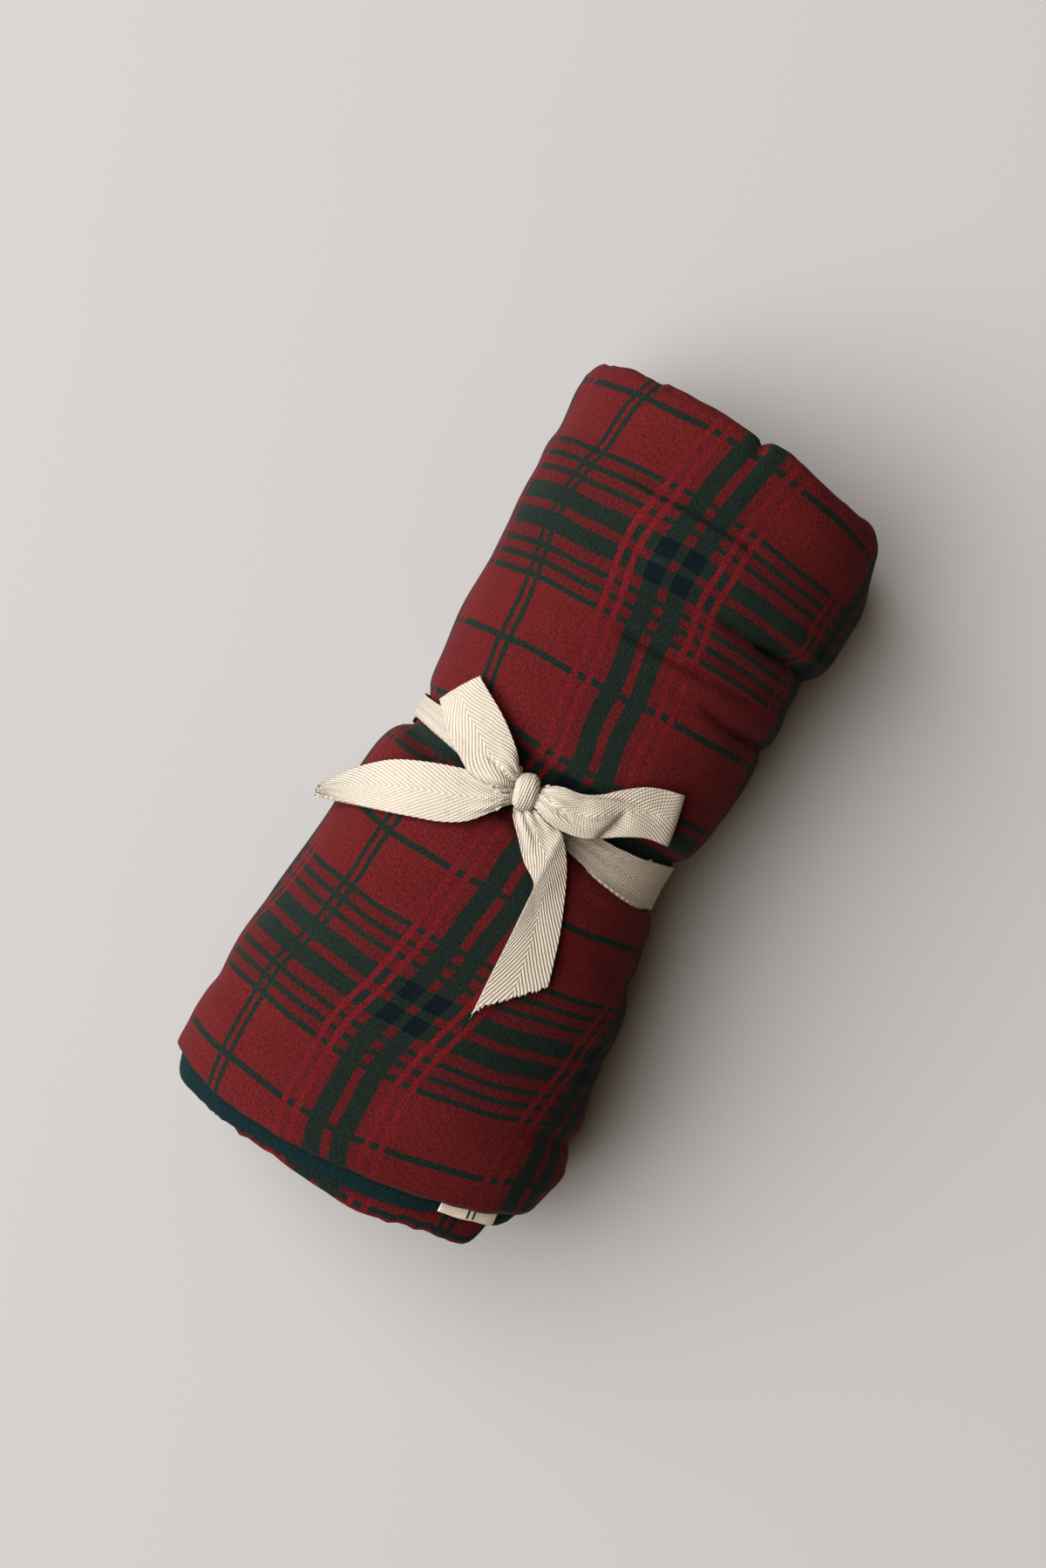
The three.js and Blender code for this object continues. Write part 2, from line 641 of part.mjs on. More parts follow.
const leftTail = [
  { leftX: -3.4, leftY: -8.4, leftUp: -0.4, rightX: -4.4, rightY: -3.2, rightUp: -0.4 },
  { leftX: -6.4, leftY: -13.4, leftUp: 1.4, rightX: -10.4, rightY: -5.0, rightUp: 0.8 },
  { leftX: -12.5, leftY: -20.4, leftUp: 2.2, rightX: -18.4, rightY: -5.2, rightUp: 1.6 },
  { leftX: -20.5, leftY: -25.2, leftUp: 2.2, rightX: -27.8, rightY: -6.6, rightUp: 2.0 },
  { leftX: -30.0, leftY: -28.6, leftUp: 2.4, rightX: -37.0, rightY: -9.8, rightUp: 2.6 },
  { leftX: -38.5, leftY: -31.5, leftUp: 2.8, rightX: -46.3, rightY: -14.0, rightUp: 3.4 },
  { leftX: -46.4, leftY: -34.0, leftUp: 3.8, rightX: -53.6, rightY: -19.6, rightUp: 4.6 },
  { leftX: -54.0, leftY: -36.4, leftUp: 6.6, rightX: -60.6, rightY: -26.6, rightUp: -0.6 },
  { leftX: -61.0, leftY: -38.4, leftUp: 8.6, rightX: -65.0, rightY: -33.0, rightUp: -6.0 },
  { leftX: -64.6, leftY: -39.4, leftUp: 8.2, rightX: -67.2, rightY: -36.4, rightUp: -8.4 },
];
const rightLoop = [
  { leftX: 6.0, leftY: -3.4, leftUp: 2.6, rightX: 6.0, rightY: 2.6, rightUp: 2.6 },
  { leftX: 10.0, leftY: -5.6, leftUp: 4.4, rightX: 9.4, rightY: 6.2, rightUp: 4.2 },
  { leftX: 17.4, leftY: -7.0, leftUp: 5.0, rightX: 18.0, rightY: 8.0, rightUp: 4.4 },
  { leftX: 25.4, leftY: -5.8, leftUp: 5.2, rightX: 24.2, rightY: 10.8, rightUp: 4.4 },
  { leftX: 32.4, leftY: -2.4, leftUp: 5.2, rightX: 30.2, rightY: 16.0, rightUp: 4.6 },
  { leftX: 38.4, leftY: 1.4, leftUp: 5.4, rightX: 37.0, rightY: 21.2, rightUp: 4.8 },
  { leftX: 46.2, leftY: 5.4, leftUp: 6.0, rightX: 43.8, rightY: 24.0, rightUp: 5.2 },
  { leftX: 53.2, leftY: 6.7, leftUp: 7.2, rightX: 49.6, rightY: 25.4, rightUp: 5.6 },
  { leftX: 54.4, leftY: 6.9, leftUp: 5.8, rightX: 50.6, rightY: 25.7, rightUp: 4.2 },
  { leftX: 53.0, leftY: 7.2, leftUp: 4.4, rightX: 49.4, rightY: 24.8, rightUp: 2.8 },
  { leftX: 45.6, leftY: 7.0, leftUp: 3.6, rightX: 43.0, rightY: 22.6, rightUp: 2.4 },
  { leftX: 37.6, leftY: 4.2, leftUp: 3.2, rightX: 36.0, rightY: 19.0, rightUp: 2.2 },
  { leftX: 30.8, leftY: 0.8, leftUp: 3.0, rightX: 29.0, rightY: 13.6, rightUp: 2.2 },
  { leftX: 24.4, leftY: -3.0, leftUp: 3.0, rightX: 23.0, rightY: 9.2, rightUp: 2.2 },
  { leftX: 17.0, leftY: -4.4, leftUp: 3.0, rightX: 17.0, rightY: 6.2, rightUp: 2.2 },
  { leftX: 10.6, leftY: -3.6, leftUp: 2.4, rightX: 10.2, rightY: 4.2, rightUp: 2.0 },
  { leftX: 6.8, leftY: -2.4, leftUp: 0.0, rightX: 6.8, rightY: 1.8, rightUp: 0.0 },
];
const downTail = [
  { leftX: -0.4, leftY: -11.0, leftUp: -0.4, rightX: 6.2, rightY: -7.6, rightUp: -0.4 },
  { leftX: 2.4, leftY: -13.0, leftUp: 1.0, rightX: 10.2, rightY: -7.6, rightUp: 0.8 },
  { leftX: 6.2, leftY: -16.4, leftUp: 1.6, rightX: 14.2, rightY: -7.2, rightUp: 1.2 },
  { leftX: 12.0, leftY: -22.8, leftUp: 2.0, rightX: 17.2, rightY: -7.6, rightUp: 1.4 },
  { leftX: 19.4, leftY: -28.4, leftUp: 2.6, rightX: 18.8, rightY: -8.2, rightUp: 1.6 },
  { leftX: 20.1, leftY: -32.8, leftUp: 2.6, rightX: 21.8, rightY: -10.8, rightUp: 1.6 },
  { leftX: 20.5, leftY: -38.2, leftUp: 2.4, rightX: 25.6, rightY: -15.8, rightUp: 1.6 },
  { leftX: 20.9, leftY: -44.6, leftUp: 2.2, rightX: 29.4, rightY: -23.0, rightUp: 1.8 },
  { leftX: 21.2, leftY: -52.0, leftUp: 2.1, rightX: 33.2, rightY: -31.6, rightUp: 1.9 },
  { leftX: 21.5, leftY: -60.0, leftUp: 2.0, rightX: 36.8, rightY: -41.0, rightUp: 2.1 },
  { leftX: 21.9, leftY: -68.6, leftUp: 2.1, rightX: 39.4, rightY: -49.6, rightUp: 2.4 },
  { leftX: 22.4, leftY: -77.2, leftUp: 2.2, rightX: 41.8, rightY: -58.0, rightUp: 2.8 },
];

const armSteps = 3;
const armPlaces = 4;
const pieces = [
  { name: 'quilt_roll', geometry: makeRoll(), color: '#7a2228', roughness: 0.92 },
  { name: 'tie_band', geometry: makeBand(), color: '#e8dfd0', roughness: 0.86 },
  { name: 'tie_knot', geometry: makeKnot(), color: '#e8dfd0', roughness: 0.86 },
  { name: 'left_loop', geometry: makeArm(leftLoop, [0, leftLoop.length - 1]), color: '#e8dfd0', roughness: 0.86 },
  { name: 'left_tail', geometry: makeArm(leftTail, [0]), color: '#e8dfd0', roughness: 0.86 },
  { name: 'right_loop', geometry: makeArm(rightLoop, [0, rightLoop.length - 1]), color: '#e8dfd0', roughness: 0.86 },
  { name: 'down_tail', geometry: makeArm(downTail, [0]), color: '#e8dfd0', roughness: 0.86 },
  { name: 'woven_label', geometry: makeLabel(), color: '#ddd3c2', roughness: 0.8 },
];

const group = new THREE.Group();
for (const { name, geometry, color, roughness } of pieces) {
  const mesh = new THREE.Mesh(geometry, new THREE.MeshStandardMaterial({ color, roughness, metalness: 0 }));
  mesh.name = name;
  group.add(mesh);
}

export default group;
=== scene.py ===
import math

import bpy
import numpy as np
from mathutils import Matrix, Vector


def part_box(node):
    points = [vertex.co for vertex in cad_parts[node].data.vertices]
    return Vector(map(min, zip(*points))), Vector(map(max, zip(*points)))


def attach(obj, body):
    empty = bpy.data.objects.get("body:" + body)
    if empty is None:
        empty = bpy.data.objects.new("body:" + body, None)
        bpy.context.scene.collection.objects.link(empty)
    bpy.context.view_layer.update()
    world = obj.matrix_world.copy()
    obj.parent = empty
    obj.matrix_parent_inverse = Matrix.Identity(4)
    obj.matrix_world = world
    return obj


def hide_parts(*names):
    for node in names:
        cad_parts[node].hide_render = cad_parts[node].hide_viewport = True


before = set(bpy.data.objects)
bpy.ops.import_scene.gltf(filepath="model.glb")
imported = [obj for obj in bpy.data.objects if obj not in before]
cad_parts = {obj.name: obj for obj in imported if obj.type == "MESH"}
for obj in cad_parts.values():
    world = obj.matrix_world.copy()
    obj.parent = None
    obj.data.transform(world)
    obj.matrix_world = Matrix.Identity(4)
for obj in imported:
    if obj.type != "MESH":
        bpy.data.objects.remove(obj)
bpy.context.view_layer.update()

mm = 0.001

# A folded muslin quilt, rolled up and tied with cotton tape. The shape is worked out in
# millimetres about the knot and moved into the frame by where the knot sits there.
knotPlace = {"x": 0.9, "y": -1.2}
knotLow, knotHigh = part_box("tie_knot")
shiftX = (knotLow[0] + knotHigh[0]) / 2 / mm - knotPlace["x"]
shiftY = (knotLow[1] + knotHigh[1]) / 2 / mm - knotPlace["y"]

rollForm = {
    "turns": 5,
    "spareTurn": 0.6,  # what the core takes up, in turns
    "looseEdge": -42,  # degrees round from +X where the outer end of the quilt lies
    "roundness": 2.3,
    "axisHeight": 46,
    "floorSink": 6,
    "coreHalfWidth": 17,
    "coreHalfHeight": 1.5,
    "bandMiddle": -1,
    "bandSlant": -0.103,
    "bandTuck": 7,
    "openHem": -149.9,
    "foldCrest": 151.4,
    "clothThickness": 2.1,
    "puff": 0.65,  # how far the filling swells between the creases
}

# place along the length, left side, right side, top, underside
sectionRows = [
    (-148.6, -67.4, 80.8, 94.6, 0.0),
    (-146.0, -67.7, 81.6, 95.6, 0.0),
    (-140.0, -67.8, 83.0, 96.0, 0.0),
    (-133.0, -68.2, 84.0, 96.4, 0.0),
    (-125.0, -68.0, 84.2, 96.8, 0.0),
    (-117.0, -66.9, 82.8, 97.0, 0.0),
    (-111.5, -67.2, 81.4, 97.0, 0.0),
    (-108.4, -67.3, 80.2, 97.0, 0.0),
    (-102.5, -67.1, 81.1, 97.0, 0.0),
    (-93.0, -66.1, 79.7, 97.0, 0.0),
    (-86.0, -65.2, 77.8, 96.8, 0.0),
    (-78.0, -64.4, 77.2, 96.6, 0.0),
    (-69.0, -63.2, 76.4, 96.2, 0.0),
    (-61.0, -62.3, 76.0, 95.9, 0.0),
    (-54.0, -61.6, 75.0, 95.5, 0.0),
    (-49.5, -61.1, 73.6, 95.2, 0.0),
    (-46.0, -60.7, 71.7, 95.0, 0.0),
    (-42.0, -60.3, 72.2, 94.7, 0.0),
    (-36.0, -59.6, 70.6, 94.2, 0.1),
    (-29.0, -58.8, 69.2, 93.4, 0.4),
    (-22.5, -57.8, 68.2, 92.4, 0.9),
    (-17.5, -56.2, 67.5, 91.2, 1.5),
    (-14.0, -54.0, 66.8, 89.8, 2.1),
    (-11.8, -51.6, 65.2, 87.4, 2.7),
    (-10.1, -48.9, 62.6, 84.9, 3.2),
    (-5.0, -48.6, 62.2, 84.5, 3.2),
    (0.0, -48.6, 62.1, 84.4, 3.2),
    (5.0, -48.6, 62.2, 84.5, 3.2),
    (10.1, -48.8, 62.6, 84.9, 3.2),
    (11.8, -49.9, 64.8, 87.4, 2.7),
    (14.0, -51.1, 66.8, 89.8, 2.1),
    (17.5, -51.9, 68.2, 91.4, 1.5),
    (22.5, -52.6, 69.4, 92.6, 0.9),
    (29.0, -53.4, 70.6, 93.6, 0.4),
    (37.0, -54.1, 71.8, 94.4, 0.1),
    (45.0, -54.4, 72.8, 94.9, 0.0),
    (53.0, -54.3, 72.4, 95.2, 0.0),
    (57.2, -54.2, 71.2, 95.3, 0.0),
    (61.5, -54.2, 73.1, 95.4, 0.0),
    (67.0, -54.2, 73.4, 95.4, 0.0),
    (75.0, -54.5, 72.2, 95.2, 0.0),
    (80.5, -54.8, 71.9, 95.0, 0.0),
    (86.2, -55.2, 71.4, 94.9, 0.0),
    (89.2, -55.6, 74.6, 95.0, 0.0),
    (93.6, -56.0, 77.2, 95.3, 0.0),
    (99.5, -56.2, 78.7, 95.5, 0.0),
    (108.0, -56.0, 79.0, 95.6, 0.0),
    (117.0, -56.6, 79.0, 95.5, 0.0),
    (125.0, -55.6, 78.6, 95.2, 0.0),
    (133.0, -56.2, 77.6, 94.8, 0.0),
    (140.5, -56.9, 75.8, 94.2, 0.0),
    (147.0, -56.6, 74.0, 93.0, 0.0),
]

# creases in the top of the outer cloth: from x, y to x, y, depth, half width
creaseRows = [
    (-20, 115.6, 6, 115.3, 2.6, 0.8),
    (6, 115.3, 31, 114.4, 2.3, 0.9),
    (26, 111.8, 58, 107.5, 0.7, 2.6),
    (34, 85.8, 53, 85.6, 3.0, 1.5),
    (53, 85.6, 66, 87.4, 7.5, 2.2),
    (4, 65.6, 34, 65.7, 2.6, 1.2),
    (34, 65.7, 60, 66.8, 3.0, 1.2),
    (44, 55.8, 60, 53.6, 2.4, 1.3),
    (60, 53.6, 67, 55.4, 4.4, 1.9),
    (-33, 133.8, -23, 134.4, 0.9, 0.9),
    (-30, 140, -22, 149, 0.7, 1.1),
    (13.6, 140, 14.4, 150, 1.0, 1.3),
    (-8, 144, -3, 150, 0.4, 1.4),
    (33, 143, 36, 149, 0.5, 1.6),
    (-52, 107, -30, 105.5, 0.5, 2.2),
    (-50, 78, -28, 80.5, 0.5, 2.4),
    (-14, 79.5, 14, 77.4, 0.6, 2.0),
    (40, 74.5, 70, 71.5, 0.7, 2.0),
    (24, 95.5, 60, 93.6, 0.6, 2.2),
    (-10, 95, 20, 97, 0.45, 2.4),
    (30, 123.5, 64, 119.0, 0.5, 3.0),
    (-44, 21.5, -20, 25, 0.8, 2.0),
    (16, 22.5, 46, 19.5, 0.9, 2.2),
    (50, 27.5, 70, 24.5, 0.8, 2.0),
    (40, 37, 66, 39.5, 0.5, 2.4),
    (-30, 40, -8, 43, 0.35, 3.0),
    (-46, -4.5, -26, -12.5, 1.0, 1.8),
    (-52, -12, -30, -20, 0.7, 2.2),
    (-12, -21, 10, -24.5, 0.6, 2.6),
    (34, -24.5, 62, -25.5, 0.8, 2.2),
    (56, -43.6, 78, -45.4, 1.8, 1.8),
    (30, -49, 52, -47, 0.5, 2.6),
    (-40, -62, -14, -66, 0.35, 3.0),
    (4, -78, 34, -74.5, 0.5, 2.8),
    (58, -72, 80, -76, 0.8, 2.4),
    (64, -106.8, 86, -108.6, 1.3, 1.8),
    (20, -108, 46, -104, 0.4, 3.0),
    (-58, -112, -30, -117, 0.4, 3.0),
]

# how far each turn lies back from the outer one: at the open end, at the folded end
turnSetbacks = [(0.0, 0.0), (3.4, 1.6), (1.8, 3.4), (4.6, 2.4), (3.8, 4.6), (5.6, 4.0), (6.0, 5.0)]

sectionTable = np.array(sectionRows, dtype=float)
setbackTable = np.array(turnSetbacks, dtype=float)
turnShare = 1 / (rollForm["turns"] + rollForm["spareTurn"])
startAngle = math.radians(rollForm["looseEdge"])


def smoothStep(low, high, value):
    share = np.clip((value - low) / (high - low), 0, 1)
    return share * share * (3 - 2 * share)


def rounded(value):
    return np.sign(value) * np.abs(value) ** (2 / rollForm["roundness"])


# A smooth line through a table's column that never overshoots its rows
def throughRows(places, values, at):
    step = np.diff(places)
    slope = np.diff(values) / step
    tangent = np.zeros_like(values)
    same = slope[:-1] * slope[1:] > 0
    tangent[1:-1] = np.where(
        same, 2 * slope[:-1] * slope[1:] / np.where(same, slope[:-1] + slope[1:], 1), 0,
    )
    tangent[0], tangent[-1] = slope[0], slope[-1]
    at = np.clip(at, places[0], places[-1])
    row = np.clip(np.searchsorted(places, at) - 1, 0, len(places) - 2)
    share = (at - places[row]) / step[row]
    a, b = values[row], values[row + 1]
    m, n = tangent[row] * step[row], tangent[row + 1] * step[row]
    square, cube = share**2, share**3
    return (
        (2 * cube - 3 * square + 1) * a
        + (cube - 2 * square + share) * m
        + (3 * square - 2 * cube) * b
        + (cube - square) * n
    )


# The length of a line, and how far ahead along it and aside of it a point lies
def besideLine(fromX, fromY, toX, toY, x, y):
    runX, runY = toX - fromX, toY - fromY
    length = math.hypot(runX, runY)
    ahead = ((x - fromX) * runX + (y - fromY) * runY) / length
    aside = ((x - fromX) * runY - (y - fromY) * runX) / length
    return length, ahead, aside


def creaseDepth(x, y):
    depth = np.zeros(np.broadcast(x, y).shape)
    for *line, deep, width in creaseRows:
        length, ahead, aside = besideLine(*line, x, y)
        inside = smoothStep(-6, 5, ahead) * smoothStep(-6, 5, length - ahead)
        far = np.sqrt(aside**2 + (0.2 * width) ** 2) - 0.2 * width
        trough = np.exp(-far / width)
        swell = np.exp(-(((far - 3.2 * width) / (1.8 * width)) ** 2))
        depth = depth + deep * inside * (trough - 0.22 * swell)
    return depth


def slantShift(along, x, angle):
    slant = (rollForm["bandMiddle"] + rollForm["bandSlant"] * x) * np.exp(-((along / 45) ** 2))
    leftness = np.maximum(0, -np.cos(angle)) ** 4
    below = np.where(along < 0, smoothStep(0, -10.1, along) * np.exp(-(((along + 10.1) / 26) ** 2)), 0)
    near = np.exp(-(((along - 13) / 7) ** 2)) * np.exp(-(((x + 42) / 9) ** 2))
    over = np.where(along > 0, near * smoothStep(-0.1, 0.3, np.sin(angle)), 0)
    return slant + rollForm["bandTuck"] * leftness * np.minimum(1, below) - 2.4 * over


def depthShare(turn, level):
    return (level + turn - 0.5) * turnShare


def outlineReach(reach, core, turn):
    share = depthShare(turn, 0)
    return (reach - core * share) / (1 - share)


# A point of the wound quilt: place along it, turns from the loose edge, share of a turn inwards
def rollPoint(along, turn, level, outside=True):
    along, turn, level = np.broadcast_arrays(np.asarray(along, float), turn, level)
    left, right, top, under = (
        throughRows(sectionTable[:, 0], sectionTable[:, k], along) for k in (1, 2, 3, 4)
    )
    angle = startAngle + turn * 2 * math.pi
    across, rise = np.cos(angle), np.sin(angle)
    middle, half = (left + right) / 2, (right - left) / 2
    side = np.where(across > 0, 42 / 360, 222 / 360)
    reach = outlineReach(half, rollForm["coreHalfWidth"], side)
    crown = outlineReach(top - rollForm["axisHeight"], rollForm["coreHalfHeight"], 132 / 360)
    depth = depthShare(turn, level)
    lower = rollForm["axisHeight"] + rollForm["floorSink"]
    outX = middle + reach * rounded(across)
    outZ = rollForm["axisHeight"] + np.where(rise > 0, crown, lower) * rounded(rise)
    coreX = middle + rollForm["coreHalfWidth"] * across
    coreZ = rollForm["axisHeight"] + rollForm["coreHalfHeight"] * rise
    x = outX + (coreX - outX) * depth
    z = outZ + (coreZ - outZ) * depth
    y = along + slantShift(along, x, angle)
    if outside:
        far = np.hypot(x - coreX, z - coreZ)
        sink = np.where((turn + level < 1.0) & (rise > -0.3), creaseDepth(x, y), 0) / far
        sink = sink - puffiness(x, y, angle) / far
        x = x - (x - coreX) * sink
        z = z - (z - coreZ) * sink
    z = np.maximum(z, under)
    return np.stack([x, y, z], axis=-1)


# Soft swells of the filling, uneven along and around the roll
def puffiness(x, y, angle):
    around = angle * 55
    swell = np.sin(y / 11.0 + 0.9 * np.sin(around / 31)) * np.sin(around / 17 + 0.6 * np.sin(y / 29))
    fine = np.sin(y / 5.3 + around / 23 + 1.1 * np.sin(around / 13)) * np.sin(around / 9 - y / 41)
    away = smoothStep(11, 26, np.abs(y - rollForm["bandSlant"] * x))
    return rollForm["puff"] * away * (0.7 * swell + 0.3 * fine) - 0.25


# place across, crest of the folded end
crestRows = [
    (-58, 145.5), (-57, 150.0), (-54.3, 151.8), (-51.2, 152.5), (-49.5, 152.0), (-47.6, 153.1),
    (-42.6, 153.2),
    (-35.5, 152.9), (-32.8, 153.3), (-28.2, 153.3), (-26.6, 154.5), (-19.2, 153.9), (-12.4, 152.9),
    (-6.3, 152.8),
    (1, 152.3), (8.5, 151.9), (12.5, 151.0), (14, 149.5), (15.2, 151.4), (17.9, 152.3), (24.6, 151.7),
    (28.3, 150.6), (39.9, 149.6), (49.6, 147.4), (59.7, 147.4), (64.5, 146.1), (67.9, 144.5), (72.9, 142.4),
    (76.4, 139.4), (80, 134),
]
# place across, the hem at the open end
hemRows = [
    (-68, -147.8), (-66, -147.6), (-64, -147.9), (-58, -149.0), (-52, -150.4), (-45, -151.6),
    (-38, -152.4), (-28, -152.6), (-20, -152.7), (-10, -152.2), (0, -151.6), (10, -150.6),
    (20, -149.4), (32, -147.9), (40, -146.7), (48, -145.2), (60, -143.0), (70, -140.4),
    (77, -138.4), (80, -136.6), (82, -134.0), (84, -131.0),
]
# place across, how far the teal layer and the fold below it stand out beyond the hem
rimRows = [
    (-68, -0.5, -3.0), (-65.6, 0.5, -2.5), (-63.6, 4.4, -2.0), (-61, 7.2, -1.2), (-58.7, 8.0, 0.0),
    (-52, 7.7, 3.0),
    (-45, 7.7, 6.0), (-40.5, 7.4, 8.0), (-37.5, 7.3, 6.6), (-35, 7.0, 7.4), (-32, 6.9, 8.4),
    (-28, 6.7, 8.4),
    (-19, 6.4, 8.3), (-9.5, 6.6, 10.1), (0, 7.0, 11.2), (9.5, 7.1, 12.2), (19, 7.1, 13.6), (27, 6.9, 13.8),
    (33, 6.4, 13.5), (39, 5.8, 12.9), (45.6, 4.6, 12.6), (53.5, 3.8, 14.0), (58, 3.4, 15.2),
    (61.5, 3.6, 15.6),
    (64, 4.0, 13.8), (65.4, 4.6, 10.0), (66.6, 5.2, 4.6), (69, 5.6, 0.5), (72, 4.6, -1.0), (74, 1.6, -2.0),
    (78, -1.0, -3.0), (82, -3.0, -5.0),
]
crestTable = np.array(crestRows, dtype=float)
hemTable = np.array(hemRows, dtype=float)
rimTable = np.array(rimRows, dtype=float)


def openLine(x):
    return throughRows(hemTable[:, 0], hemTable[:, 1], x)


def foldLine(x):
    return throughRows(crestTable[:, 0], crestTable[:, 1], x)


# How far a layer stands out at the open end: 0 is the hem, 1 the teal layer, 2 the fold below
def rimReach(x, layer):
    return throughRows(rimTable[:, 0], rimTable[:, layer], x) if layer else np.zeros_like(x)


def setback(turn, end):
    return np.interp(turn, np.arange(len(turnSetbacks)), setbackTable[:, end])


print("roll form ready")

# Meshes


def gridNormals(points):
    alongRows = np.gradient(points, axis=0)
    alongColumns = np.gradient(points, axis=1)
    normals = np.cross(alongRows, alongColumns)
    return normals / np.maximum(np.linalg.norm(normals, axis=-1, keepdims=True), 1e-9)


# Points in millimetres about the knot, faces of four corners, a UV in metres for each point
def meshPiece(name, points, quads, uvs, slots, materials):
    placed = (points + np.array([shiftX, shiftY, 0])) * mm
    mesh = bpy.data.meshes.new(name)
    mesh.vertices.add(len(placed))
    mesh.vertices.foreach_set("co", placed.astype(np.float32).ravel())
    mesh.loops.add(quads.size)
    mesh.loops.foreach_set("vertex_index", quads.astype(np.int32).ravel())
    mesh.polygons.add(len(quads))
    mesh.polygons.foreach_set("loop_start", np.arange(0, quads.size, 4, dtype=np.int32))
    mesh.polygons.foreach_set("material_index", np.asarray(slots, dtype=np.int32))
    mesh.update(calc_edges=True)
    layer = mesh.uv_layers.new(name="cloth")
    layer.data.foreach_set("uv", uvs[quads.ravel()].astype(np.float32).ravel())
    mesh.validate()
    mesh.polygons.foreach_set("use_smooth", np.ones(len(mesh.polygons), dtype=bool))
    for material in materials:
        mesh.materials.append(material)
    piece = bpy.data.objects.new(name, mesh)
    bpy.context.collection.objects.link(piece)
    return piece


# A thin closed cloth: an outer face, the same face one thickness in, and rounded edges
def slabPiece(name, outer, uvs, thickness, materials, facing=1, innerSlot=None):
    rows, columns = outer.shape[:2]
    normals = gridNormals(outer) * facing
    thick = np.broadcast_to(np.asarray(thickness, float), (rows, columns))[..., None]
    inner = outer - normals * thick
    count = rows * columns
    index = np.arange(count).reshape(rows, columns)
    border = np.concatenate([index[0, :], index[1:, -1], index[-1, -2::-1], index[-2:0:-1, 0]])
    flatOuter = outer.reshape(-1, 3)
    flatInner = inner.reshape(-1, 3)
    around = np.roll(flatOuter[border], -1, 0) - np.roll(flatOuter[border], 1, 0)
    outward = np.cross(around, normals.reshape(-1, 3)[border]) * facing
    outward /= np.maximum(np.linalg.norm(outward, axis=-1, keepdims=True), 1e-9)
    edgeThick = thick.reshape(-1, 1)[border]
    middle = (flatOuter[border] + flatInner[border]) / 2 + outward * edgeThick * 0.42
    points = np.concatenate([flatOuter, flatInner, middle])
    flatUv = uvs.reshape(-1, 2)
    allUvs = np.concatenate([flatUv, flatUv, flatUv[border]])
    a, b = index[:-1, :-1].ravel(), index[:-1, 1:].ravel()
    c, d = index[1:, 1:].ravel(), index[1:, :-1].ravel()
    face = np.stack([a, d, c, b], 1) if facing > 0 else np.stack([a, b, c, d], 1)
    back = face[:, ::-1] + count
    ring = np.arange(len(border)) + 2 * count
    ringNext = np.roll(ring, -1)
    borderNext = np.roll(border, -1)
    top = np.stack([border, borderNext, ringNext, ring], 1)
    low = np.stack([ring, ringNext, borderNext + count, border + count], 1)
    if facing < 0:
        top, low = top[:, ::-1], low[:, ::-1]
    quads = np.concatenate([face, back, top, low])
    inside = 0 if innerSlot is None else innerSlot
    slots = np.concatenate(
        [np.zeros(len(face)), np.full(len(back), inside), np.zeros(len(top)), np.full(len(low), inside)]
    )
    return meshPiece(name, points, quads, allUvs, slots, materials)


# Where the woven lines run on the outer cloth, measured at the top of the roll

# place along, x of the wide green pair's middle
widePairRows = [
    (-150, 1.5), (-146, 0.2), (-140, -1.2), (-131, -1.8), (-121, -1.9), (-102, -0.4), (-93, 1.7),
    (-84, 4.4), (-74, 6.8), (-65, 8.4),
    (-47, 10.8), (-37, 11.8), (-28, 12.5), (0, 16), (15, 18.5), (28, 16.2), (37, 14.6), (47, 13.8),
    (56, 12.8),
    (65, 11.6), (75, 10.8), (84, 8.9), (93, 7.7), (103, 7.6), (112, 8.6), (121, 10.2), (130, 11.6),
    (140, 13.6), (150, 16.8),
]
# place along, how far the cross lines lie off straight on the left and on the right
crossDriftRows = [
    (-150, 2.3, 9.3), (-138, 2.3, 9.3), (-85, 2.6, 7.8), (-35, 3.0, 4.0), (0, 1.0, 2.0), (43, -1.1, 2.6),
    (95, -1.6, -3.0), (143, -1.6, -7.0), (152, -1.6, -7.0),
]
widePair = np.array(widePairRows, dtype=float)
crossDrift = np.array(crossDriftRows, dtype=float)
upperGroup = 94.9  # the middle of the cross group in the upper half


# Distance round the roll from the wide green pair, in millimetres of cloth, for a grid of rows
def clothAcross(points):
    steps = np.linalg.norm(np.diff(points[..., [0, 2]], axis=1), axis=-1)
    arc = np.concatenate([np.zeros((len(points), 1)), np.cumsum(steps, axis=1)], axis=1)
    start = np.empty(len(points))
    for row, line in enumerate(points):
        topPart = line[:, 2] > rollForm["axisHeight"] + 12
        order = np.argsort(line[topPart, 0])
        place = np.interp(8, line[topPart, 0][order], line[topPart, 1][order])
        target = throughRows(widePair[:, 0], widePair[:, 1], np.array([place]))
        start[row] = np.interp(target[0], line[topPart, 0][order], arc[row][topPart][order])
    # the loose edge is on the right, so cloth runs leftwards with the arc
    x, y = points[..., 0], points[..., 1]
    wander = 0.4 * np.sin(y / 10.3 + x / 37) + 0.3 * np.sin(y / 21.0 - x / 19 + 2)
    wander = wander + 0.25 * np.sin(y / 4.7 + x / 15)
    across = start[:, None] - arc + wander
    across = across - 5.5 * smoothStep(50, 82, -across) * smoothStep(-110, -60, y)
    return across + 3.2 * smoothStep(38, 70, across) * smoothStep(15, 55, y)


